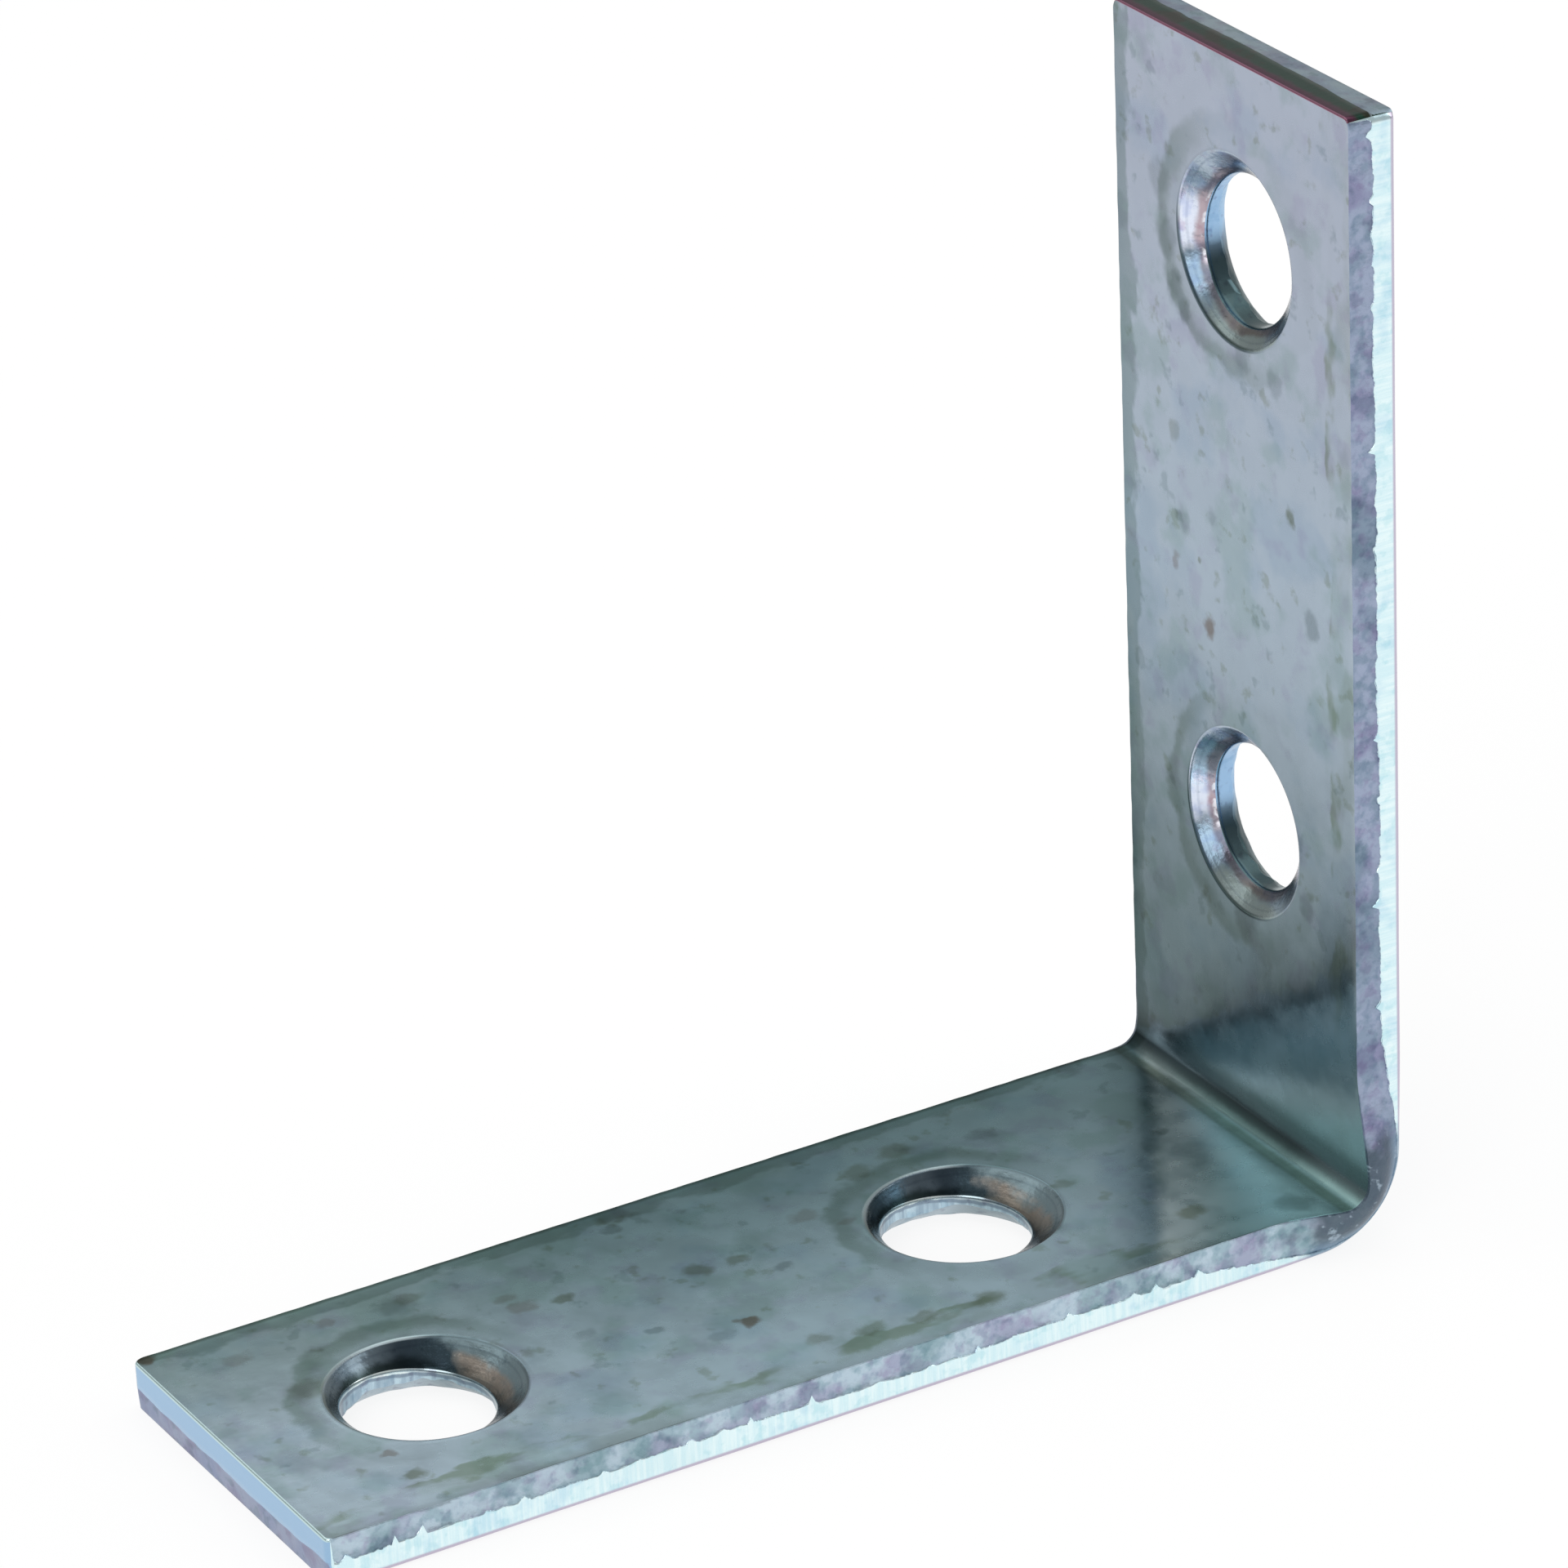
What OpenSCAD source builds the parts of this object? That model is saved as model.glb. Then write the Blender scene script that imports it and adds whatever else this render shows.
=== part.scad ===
// Angle bracket: one strip of zinc-plated steel, pierced, countersunk and folded to a right angle.
// Millimetres. X runs along the base leg towards the upright, Y across the strip, Z up.
// The origin is at the middle of the bracket's footprint, on the surface that it stands on.

/* [Strip] */
// Length of the base leg, end to outer corner
base_leg = 40; // [36:0.5:80]
// Height of the upright leg, outer corner to top
upright_leg = 39.6; // [36:0.1:80]
// Width of the strip
strip_w = 13.6; // [12:0.1:22]
// Thickness of the sheet
sheet_t = 1.72; // [1.5:0.02:2.4]
// Plan radius at the four cropped corners
corner_r = 0.35; // [0.2:0.05:0.8]

/* [Bend] */
// Radius at the inside of the bend
inner_r = 0.9; // [0.7:0.05:1.4]
// Radius at the outside of the bend
outer_r = 3.2; // [2.8:0.1:3.8]
// Width of the flat land that the punch nose leaves along the inside of the bend
land_w = 0.62; // [0.4:0.02:0.8]
// Depth of that land below the inside radius
land_depth = 0.04; // [0.02:0.01:0.1]
// Height of the swelling that the fold squeezes out of each edge, at its middle
upset = 1; // [0.6:0.05:1.2]
// Reach of that swelling from its middle, in the side view
upset_reach = 2.9; // [2.4:0.1:3.4]

/* [Sheared edges] */
// Roll-over radius along the outer arris of each long edge
roll_over = 0.22; // [0.1:0.02:0.4]
// Share of the thickness that broke away beside the inner face of each long edge
break_share = 0.5; // [0.3:0.05:0.7]
// How far that broken band leans in at the inner face
break_lean = 0.07; // [0.03:0.01:0.12]
// Roll-over radius across each cropped end, at its inner arris
end_roll = 0.2; // [0.1:0.02:0.4]
// Share of the thickness that broke away beside the outer face of each cropped end
end_break_share = 0.4; // [0.3:0.05:0.6]
// How far that broken band leans in at the outer face
end_break_lean = 0.06; // [0.03:0.01:0.12]

/* [Screw holes] */
// Diameter of the bore
bore_d = 5; // [4:0.1:5.6]
// Diameter of the countersink at the inner face
sink_d = 6.6; // [6.2:0.1:8]
// Depth of the countersink cone
sink_depth = 0.7; // [0.6:0.05:0.8]
// Radius that softens the countersink's rim
rim_r = 0.4; // [0.2:0.05:0.6]
// Depth of the flare where the bore breaks out of the outer face
breakout_depth = 0.5; // [0.3:0.05:0.6]
// How much wider that flare is at the outer face, on each side
breakout_flare = 0.5; // [0.1:0.05:0.6]
// Distance from each leg's end to the centre of its outer hole
end_distance = 6.75; // [5.5:0.05:9]
// Distance between the two holes of a leg
hole_pitch = 20.1; // [12:0.1:22]

/* [Hidden] */
$fn = 96;
// Reach of the cutting bodies past what they cut
over = 1;
half_w = strip_w / 2;
// A width that reaches past both edges and their swellings
past_w = strip_w + 2 * (upset + over);
// Height above the outer face at which a long edge stops being burnished, and the same for an end
break_from = sheet_t * (1 - break_share);
end_break_to = sheet_t * end_break_share;
// The swelling is a cap of a sphere, rooted as deep as the roll-over and clear of both outer faces
cap_gap = 0.05;
upset_sphere_r = (upset_reach * upset_reach + upset * upset) / (2 * upset);
cap_root_r = sqrt(pow(upset_sphere_r, 2) - pow(upset_sphere_r - upset - roll_over, 2)) + cap_gap;
half_diagonal = sqrt(1 / 2);
upset_at = max(cap_root_r, outer_r * (1 - half_diagonal) + cap_root_r * half_diagonal);
// Axis of the punch nose, measured from both outer faces
nose_at = sheet_t + inner_r;
// Wall angle of the countersink below the inner face, and the rim's tangent length on each side
bore_r = bore_d / 2;
sink_r = sink_d / 2;
sink_angle = atan2(sink_depth, sink_r - bore_r);
rim_reach = rim_r * tan(sink_angle / 2);

// What the shear takes off one long edge, up to a height above the outer face: x is that height,
// y runs across the strip. The edge is rolled over, then burnished, then broken away.
module edge_waste_view(height) {
    translate([0, half_w - roll_over]) difference() {
        translate([-over, 0]) square(roll_over + over);
        translate([roll_over, 0]) circle(r = roll_over);
    }
    lean = break_lean * (height - break_from) / (sheet_t - break_from);
    polygon([
        [break_from, half_w], [height, half_w - lean],
        [height, half_w + over], [break_from, half_w + over]
    ]);
}

// From here to the finished strip, the outer corner of the bend is at the origin
module edge_waste() {
    translate([-base_leg - over, 0, 0]) rotate([90, 0, 90])
        linear_extrude(height = base_leg + over - outer_r)
            mirror([1, -1]) edge_waste_view(sheet_t + over);
    translate([0, 0, outer_r])
        linear_extrude(height = upright_leg + over - outer_r)
            mirror([1, 0]) edge_waste_view(sheet_t + over);
    translate([-outer_r, 0, outer_r]) rotate([90, 0, 0]) rotate([0, 0, -90])
        rotate_extrude(angle = 90)
            translate([outer_r, 0]) mirror([1, 0]) edge_waste_view(outer_r - over / 2);
}

// Side view of the folded strip, as a full block behind the outer faces
module outside_view() {
    difference() {
        translate([-base_leg, 0]) square([base_leg, upright_leg]);
        translate([-outer_r, outer_r]) difference() {
            translate([0, -outer_r - over]) square(outer_r + over);
            circle(r = outer_r);
        }
    }
}

// Metal that the fold squeezes out of both edges, beside the inside of the bend
module upset_swellings() {
    for (side = [-1, 1])
        intersection() {
            translate([-upset_at, side * (half_w + upset - upset_sphere_r), upset_at])
                sphere(r = upset_sphere_r);
            translate([-upset_at, side * (half_w - roll_over + upset_sphere_r), upset_at])
                cube(2 * upset_sphere_r, center = true);
        }
}

// Side view of the open space inside the bend, with the land that the punch nose pressed
module inside_view() {
    difference() {
        translate([-base_leg - over, sheet_t])
            square([base_leg + over - sheet_t, upright_leg + over]);
        translate([-nose_at, 0]) square(nose_at);
    }
    translate([-nose_at, nose_at]) {
        circle(r = inner_r);
        rotate(-45) translate([0, -land_w / 2]) square([inner_r + land_depth, land_w]);
    }
}

// What the crop takes off an end: x points out of the leg, y is the height above the outer face
module end_trim_view() {
    polygon([
        [over, end_break_to], [0, end_break_to],
        [-end_break_lean * (end_break_to + over) / end_break_to, -over], [over, -over]
    ]);
    translate([-end_roll, sheet_t - end_roll]) difference() {
        square(end_roll + over);
        circle(r = end_roll);
    }
}

// Draws a side view across the strip, centred on it
module across_strip(width) {
    rotate([90, 0, 0]) linear_extrude(height = width, center = true) children();
}

// What the die's corner takes off: the corner is at the origin and the strip at +x and +y
module corner_nick() {
    translate([0, 0, -over])
        linear_extrude(height = sheet_t + 2 * over)
            difference() {
                translate([-over, -over]) square(corner_r + over);
                translate([corner_r, corner_r]) circle(r = corner_r);
            }
}

// Countersunk screw hole, with z up from the outer face of the leg
module screw_hole() {
    rotate_extrude()
        difference() {
            polygon([
                [0, -over], [bore_r + breakout_flare, -over], [bore_r + breakout_flare, 0],
                [bore_r, breakout_depth], [bore_r, sheet_t - sink_depth],
                [sink_r - rim_reach * cos(sink_angle), sheet_t - rim_reach * sin(sink_angle)],
                [sink_r + rim_reach, sheet_t], [sink_r + rim_reach, sheet_t + over],
                [0, sheet_t + over]
            ]);
            translate([sink_r + rim_reach, sheet_t - rim_r]) circle(r = rim_r);
        }
}

// Everything that is cut from one leg, with its end at the origin and the leg running to +x
module leg_cuts() {
    for (side = [-1, 1])
        translate([0, side * half_w, 0]) mirror([0, (side + 1) / 2, 0]) corner_nick();
    for (hole = [0, 1])
        translate([end_distance + hole * hole_pitch, 0, 0]) screw_hole();
    across_strip(past_w) mirror([1, 0]) end_trim_view();
}

// The strip's outside, with its sheared edges and the inside of the bend still full
module sheared_block() {
    difference() {
        across_strip(strip_w) outside_view();
        edge_waste();
        mirror([0, 1, 0]) edge_waste();
    }
}

module folded_strip() {
    difference() {
        union() {
            sheared_block();
            upset_swellings();
        }
        across_strip(past_w) inside_view();
        translate([-base_leg, 0, 0]) leg_cuts();
        translate([0, 0, upright_leg]) rotate([0, 90, 0]) mirror([0, 0, 1]) leg_cuts();
    }
}

module angle_bracket() {
    color([0.62, 0.68, 0.7]) translate([base_leg / 2, 0, 0]) folded_strip();
}

angle_bracket();
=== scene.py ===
"""Angle bracket of bright zinc-plated steel strip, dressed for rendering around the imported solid."""

from __future__ import annotations

import logging
import math
from dataclasses import dataclass, field
from enum import Enum
from typing import Sequence

import bmesh
import bpy
import numpy as np
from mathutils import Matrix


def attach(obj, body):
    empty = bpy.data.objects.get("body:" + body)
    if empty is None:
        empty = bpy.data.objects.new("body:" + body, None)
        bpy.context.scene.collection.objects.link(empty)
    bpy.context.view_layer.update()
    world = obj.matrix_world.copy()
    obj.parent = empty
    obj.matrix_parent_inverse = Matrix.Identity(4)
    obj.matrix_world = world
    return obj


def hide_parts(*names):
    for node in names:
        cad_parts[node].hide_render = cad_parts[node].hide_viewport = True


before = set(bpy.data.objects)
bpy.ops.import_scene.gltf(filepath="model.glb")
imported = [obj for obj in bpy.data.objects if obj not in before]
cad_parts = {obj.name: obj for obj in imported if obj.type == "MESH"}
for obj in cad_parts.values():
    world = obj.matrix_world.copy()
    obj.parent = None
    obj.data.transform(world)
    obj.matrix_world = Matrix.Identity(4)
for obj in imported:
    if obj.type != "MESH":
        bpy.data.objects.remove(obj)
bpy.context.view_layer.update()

LOG = logging.getLogger("angle_bracket")
MM = 0.001
NODE = "angle_bracket"


class Region(Enum):
    """The parts of the bracket's skin, by how each was made. The value is its material slot."""

    FACE = 0
    SHEARED_EDGE = 1
    CROPPED_END = 2
    COUNTERSINK = 3
    BORE = 4


class Side(Enum):
    """Which face of the sheet a point lies on, as a share of the thickness above the outer face."""

    OUTER = 0.0
    INNER = 1.0


def linear(code: str) -> tuple[float, float, float, float]:
    """Turn an sRGB hex colour into linear values.

    Args:
        code: Six hex digits, such as "9aa8b8".

    Returns:
        Red, green, blue and alpha, linear.
    """
    parts = [int(code[i : i + 2], 16) / 255 for i in (0, 2, 4)]
    low = [c / 12.92 if c <= 0.04045 else ((c + 0.055) / 1.055) ** 2.4 for c in parts]
    return (low[0], low[1], low[2], 1.0)


def ease(x: np.ndarray | float) -> np.ndarray:
    """Smooth step from 0 to 1 as x goes from 0 to 1."""
    t = np.clip(x, 0.0, 1.0)
    return t * t * (3.0 - 2.0 * t)


@dataclass(frozen=True)
class Wave:
    """One size of unevenness along a line in mm: how high, how long, and where its draw starts."""

    height: float
    length: float
    start: float = 0.0


class Grain:
    """Seeded smooth noise along a line or over a sheet, for wear that is modelled in the mesh."""

    def __init__(self, seed: int) -> None:
        """Draw the table of values.

        Args:
            seed: Number that fixes the draw.
        """
        self.table = np.random.default_rng(seed).uniform(-1.0, 1.0, 4096)

    def _at(self, ix: np.ndarray, iy: np.ndarray) -> np.ndarray:
        """Value at whole-number places of the lattice."""
        return self.table[(ix * 733 + iy * 1301) % 4096]

    def line(self, x: np.ndarray, wave: float) -> np.ndarray:
        """Noise along a line.

        Args:
            x: Places in mm.
            wave: Distance in mm between drawn values.

        Returns:
            Values from -1 to 1.
        """
        u = np.asarray(x, float) / wave
        i = np.floor(u).astype(int)
        t = ease(u - i)
        zero = np.zeros_like(i)
        return self._at(i, zero) * (1 - t) + self._at(i + 1, zero) * t

    def waves(self, x: np.ndarray, *sizes: Wave) -> np.ndarray:
        """Add up unevenness of several sizes along a line.

        Args:
            x: Places in mm.
            sizes: The sizes.

        Returns:
            Heights in mm.
        """
        return sum(wave.height * self.line(x + wave.start, wave.length) for wave in sizes)

    def sheet(self, x: np.ndarray, y: np.ndarray, wave: float) -> np.ndarray:
        """Noise over a sheet.

        Args:
            x: First coordinate in mm.
            y: Second coordinate in mm.
            wave: Distance in mm between drawn values.

        Returns:
            Values from -1 to 1.
        """
        u, v = np.asarray(x, float) / wave, np.asarray(y, float) / wave
        i, j = np.floor(u).astype(int), np.floor(v).astype(int)
        a, b = ease(u - i), ease(v - j)
        low = self._at(i, j) * (1 - a) + self._at(i + 1, j) * a
        high = self._at(i, j + 1) * (1 - a) + self._at(i + 1, j + 1) * a
        return low * (1 - b) + high * b


@dataclass(frozen=True)
class StripSizes:
    """Sizes of the folded strip in mm.

    They are those of the part's source, apart from a smaller swelling, a smaller roll at the ends and
    a higher break there. How far the metal draws in, the flat length of the bend and the arris are
    modelled here alone.
    """

    base_leg: float = 40.0
    upright_leg: float = 39.6
    width: float = 13.6
    sheet: float = 1.72
    corner_r: float = 0.35
    inner_r: float = 0.9
    outer_r: float = 3.2
    land_w: float = 0.62
    land_depth: float = 0.04
    swell: float = 0.68
    draw_in: float = 0.1
    bend_flat: float = 3.8
    roll_over: float = 0.22
    burnished: float = 0.86
    lean: float = 0.07
    end_roll: float = 0.07
    end_broken: float = 0.76
    end_lean: float = 0.06
    arris: float = 0.03

    @property
    def half(self) -> float:
        """Half the width of the strip."""
        return self.width / 2

    @property
    def bend_from(self) -> float:
        """Distance along the strip at which the bend begins."""
        return self.base_leg - self.outer_r

    @property
    def bend_to(self) -> float:
        """Distance along the strip at which the bend ends."""
        return self.bend_from + self.bend_flat

    @property
    def bend_middle(self) -> float:
        """Distance along the strip of the middle of the bend."""
        return (self.bend_from + self.bend_to) / 2

    @property
    def length(self) -> float:
        """Length of the flat strip."""
        return self.bend_to + self.upright_leg - self.outer_r


@dataclass(frozen=True)
class HoleSizes:
    """Sizes of the screw holes in mm.

    They are those of the part's source, apart from a narrower countersink with a tighter rim. The
    softened foot of the cone, the square patch of mesh round a hole, and how far each countersink sits
    off its bore are here alone.
    """

    bore_r: float = 2.5
    sink_r: float = 3.27
    sink_depth: float = 0.7
    rim_r: float = 0.25
    foot_w: float = 0.035
    foot_h: float = 0.03
    flare: float = 0.5
    flare_depth: float = 0.5
    end_distance: float = 6.75
    pitch: float = 20.1
    patch: float = 4.2
    sink_shift: tuple[float, ...] = (0.24, 0.2, 0.05, 0.22)
    sink_across: tuple[float, ...] = (-0.15, -0.22, -0.16, -0.16)

    @property
    def wall_angle(self) -> float:
        """Angle of the cone's wall below the inner face, in radians."""
        return math.atan2(self.sink_depth, self.sink_r - self.bore_r)

    @property
    def mouth_r(self) -> float:
        """Radius at which the softened rim meets the inner face."""
        return self.sink_r + self.rim_r * math.tan(self.wall_angle / 2)

    def centres(self, strip: StripSizes) -> list[float]:
        """Distances of the four hole centres along the flat strip."""
        near = [self.end_distance, self.end_distance + self.pitch]
        return near + [strip.length - s for s in reversed(near)]


class Fold:
    """Carries points of the flat strip to their places in the folded bracket.

    The lengths are in mm: how far the inside of the bend is softened, how far the land's corners are
    drawn in, how far the swelling reaches along each leg, how far it stays whole, and how far from
    the strip's middle line it begins. The waves are those of the bend's inside, across the strip.
    """

    OUTLINE_POINTS = 801
    PATH_POINTS = 1201
    ARC_POINTS = 60
    SOFT_POINTS = 150
    SOFT_LENGTH = 0.18
    LAND_CORNER = 0.03
    SWELL_REACH = (4.0, 5.4)
    SWELL_WHOLE = 0.6
    SWELL_FROM = 3.6
    CREASE = (Wave(0.035, 2.1, 40.0), Wave(0.015, 0.6, 90.0))

    def __init__(self, strip: StripSizes) -> None:
        """Lay out the matched outer and inner outlines of the bend.

        Args:
            strip: Sizes of the strip.
        """
        self.strip = strip
        self.grain = Grain(11)
        z = strip
        share = np.linspace(0.0, 1.0, self.OUTLINE_POINTS)
        turn = share * math.pi / 2
        at = z.base_leg / 2 - z.outer_r
        outer = np.stack([at + z.outer_r * np.sin(turn), z.outer_r - z.outer_r * np.cos(turn)], 1)
        inner = self._inner_path(share)
        s_bend = z.bend_from + share * z.bend_flat
        low, top = -z.base_leg / 2, z.upright_leg
        face = z.base_leg / 2 - z.sheet
        self.s = np.concatenate([[0.0], s_bend, [z.length]])
        self.outer = np.concatenate([[[low, 0.0]], outer, [[z.base_leg / 2, top]]])
        self.inner = np.concatenate([[[low, z.sheet]], inner, [[face, top]]])

    def _inner_path(self, share: np.ndarray) -> np.ndarray:
        """Outline inside the bend, with the land of the punch nose.

        Args:
            share: Shares of the path's length at which points are wanted.

        Returns:
            Points (x, z) in mm.
        """
        z = self.strip
        cx, cz = z.base_leg / 2 - z.sheet - z.inner_r, z.sheet + z.inner_r
        start = np.array([z.base_leg / 2 - z.outer_r, z.sheet])
        half_land = math.asin(z.land_w / 2 / z.inner_r)
        first = np.linspace(-math.pi / 2, -math.pi / 4 - half_land, self.ARC_POINTS)
        arc = np.stack([cx + z.inner_r * np.cos(first), cz + z.inner_r * np.sin(first)], 1)
        down = np.array([1.0, -1.0]) / math.sqrt(2)
        along = np.array([1.0, 1.0]) / math.sqrt(2)
        middle = np.array([cx, cz]) + down * (z.inner_r + z.land_depth)
        corner = middle - along * (z.land_w / 2 - self.LAND_CORNER)
        half = np.concatenate([[start], arc, [corner], [middle]])
        mirrored = z.base_leg / 2 - half[-2::-1, ::-1]
        path = np.concatenate([half, mirrored])
        run = np.concatenate([[0.0], np.cumsum(np.hypot(*np.diff(path, axis=0).T))])
        fine = np.linspace(0.0, run[-1], self.PATH_POINTS)
        dense = np.stack([np.interp(fine, run, path[:, k]) for k in (0, 1)], 1)
        near = np.arange(-self.SOFT_POINTS, self.SOFT_POINTS + 1)
        weight = np.exp(-((near * (fine[1] - fine[0]) / self.SOFT_LENGTH) ** 2) / 2)
        weight /= weight.sum()
        lead = dense[0] + (dense[1] - dense[0]) * near[near < 0][:, None]
        tail = dense[-1] + (dense[-1] - dense[-2]) * near[near > 0][:, None]
        longer = np.concatenate([lead, dense, tail])
        soft = np.stack([np.convolve(longer[:, k], weight, "valid") for k in (0, 1)], 1)
        return np.stack([np.interp(share * run[-1], fine, soft[:, k]) for k in (0, 1)], 1)

    def swelling(self, s: np.ndarray) -> np.ndarray:
        """How far along its rise the swelling of the bend is, from 0 out on a leg to 1 at the bend."""
        past = np.asarray(s) - self.strip.bend_middle
        reach = np.where(past < 0, *self.SWELL_REACH)
        return ease((reach - np.abs(past)) / (reach - self.SWELL_WHOLE))

    def carry(self, flat: np.ndarray) -> np.ndarray:
        """Fold points of the flat strip.

        Args:
            flat: Rows of (along the strip, across it, height above the outer face) in mm.

        Returns:
            Rows of (x, y, z) in mm, in the part's frame.
        """
        z = self.strip
        s, y, h = flat.T
        near = self.swelling(s)
        inside = np.clip(1.0 - np.abs(s - z.bend_middle) / (z.bend_flat / 2), 0.0, 1.0)
        crease = self.grain.waves(y, *self.CREASE) * ease(inside * 3.0)
        s_in = s + crease * (h > z.sheet * 0.98)
        share = h / z.sheet
        outer = np.stack([np.interp(s, self.s, self.outer[:, k]) for k in (0, 1)], 1)
        inner = np.stack([np.interp(s_in, self.s, self.inner[:, k]) for k in (0, 1)], 1)
        place = outer + (inner - outer) * share[:, None]
        edge = ease((np.abs(y) - self.SWELL_FROM) / (z.half - self.SWELL_FROM))
        near_bulge = np.sin(np.clip(share / 0.8, 0.0, 1.0) * math.pi / 2) ** 1.3
        far_bulge = np.sin(math.pi * np.clip(share, 0.0, 1.0) ** 0.8) ** 1.2
        bulge = np.where(y < 0, near_bulge, far_bulge)
        grow = near * (z.swell * bulge - z.draw_in * (1.0 - share) ** 2) * edge
        return np.stack([place[:, 0], y + np.sign(y) * grow, place[:, 1]], 1)


@dataclass
class SkinGrid:
    """Steps of the mesh in mm: the columns along the strip and the rows across it."""

    strip: StripSizes
    holes: HoleSizes
    fine_step: float = 0.125
    patch_cells: int = 34
    bend_cells: int = 96
    corner_cells: int = 6
    edge_rows: tuple[float, ...] = (0.0, 0.07, 0.34)
    flank: tuple[float, ...] = (6.0, 5.64, 5.28, 4.92, 4.56)
    across_cells: int = 20
    knots: list[float] = field(default_factory=list)
    splits: list[int] = field(default_factory=list)
    patches: list[tuple[int, int]] = field(default_factory=list)

    def __post_init__(self) -> None:
        """Place the columns of both legs and of the bend."""
        z, hole = self.strip, self.holes
        first, second = hole.end_distance, hole.end_distance + hole.pitch
        base = self._leg(first, second, z.bend_from)
        upright = self._leg(first, second, z.upright_leg - z.outer_r)
        self.knots, self.splits = list(base[0]), list(base[1])
        step = z.bend_flat / self.bend_cells
        for cell in range(self.bend_cells):
            self.knots.append(z.bend_from + step * (cell + 1))
            self.splits.append(1)
        for a, m in zip(reversed(upright[0][:-1]), reversed(upright[1])):
            self.knots.append(z.length - a)
            self.splits.append(m)
        self.knots[-1] = z.length
        for centre in hole.centres(z):
            ends = [int(np.argmin(np.abs(np.array(self.knots) - c))) for c in self._span(centre)]
            self.patches.append((ends[0], ends[1]))

    def _span(self, centre: float) -> tuple[float, float]:
        """Both ends of the square patch round a hole."""
        return (centre - self.holes.patch, centre + self.holes.patch)

    def _leg(self, first: float, second: float, end: float) -> tuple[list[float], list[int]]:
        """Columns of one leg, from its free end.

        Args:
            first: Distance of the outer hole.
            second: Distance of the inner hole.
            end: Distance at which the bend begins.

        Returns:
            The knots, and into how many fine cells each gap is split.
        """
        r = self.strip.corner_r
        turn = np.linspace(0.0, math.pi / 2, self.corner_cells + 1)
        knots = list(r - r * np.cos(turn))
        splits = [1] * self.corner_cells
        stops = [r + 0.45, *self._span(first), *self._span(second), end]
        for index, stop in enumerate(stops):
            gap = stop - knots[-1]
            cells = self.patch_cells if index in (2, 4) else max(1, round(gap / (2 * self.fine_step)))
            start = knots[-1]
            for cell in range(cells):
                knots.append(start + gap * (cell + 1) / cells)
                splits.append(2)
            knots[-1] = stop
        return knots, splits

    def fine(self) -> tuple[np.ndarray, list[int]]:
        """All columns, and for each knot the number of its column."""
        columns, at = [self.knots[0]], [0]
        for a, b, m in zip(self.knots, self.knots[1:], self.splits):
            for k in range(m):
                columns.append(a + (b - a) * (k + 1) / m)
            at.append(len(columns) - 1)
        return np.array(columns), at

    def rows(self) -> list[float]:
        """Heights across the strip of the coarse rows, from the near edge to the far one."""
        middle = np.linspace(-self.holes.patch, self.holes.patch, self.across_cells + 1)
        return [-v for v in self.flank] + list(middle) + list(reversed(self.flank))


@dataclass(frozen=True)
class Spike:
    """One spike of the tear line, in mm along the strip, and how much it leans to one side."""

    place: float
    width: float
    height: float
    skew: float


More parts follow.
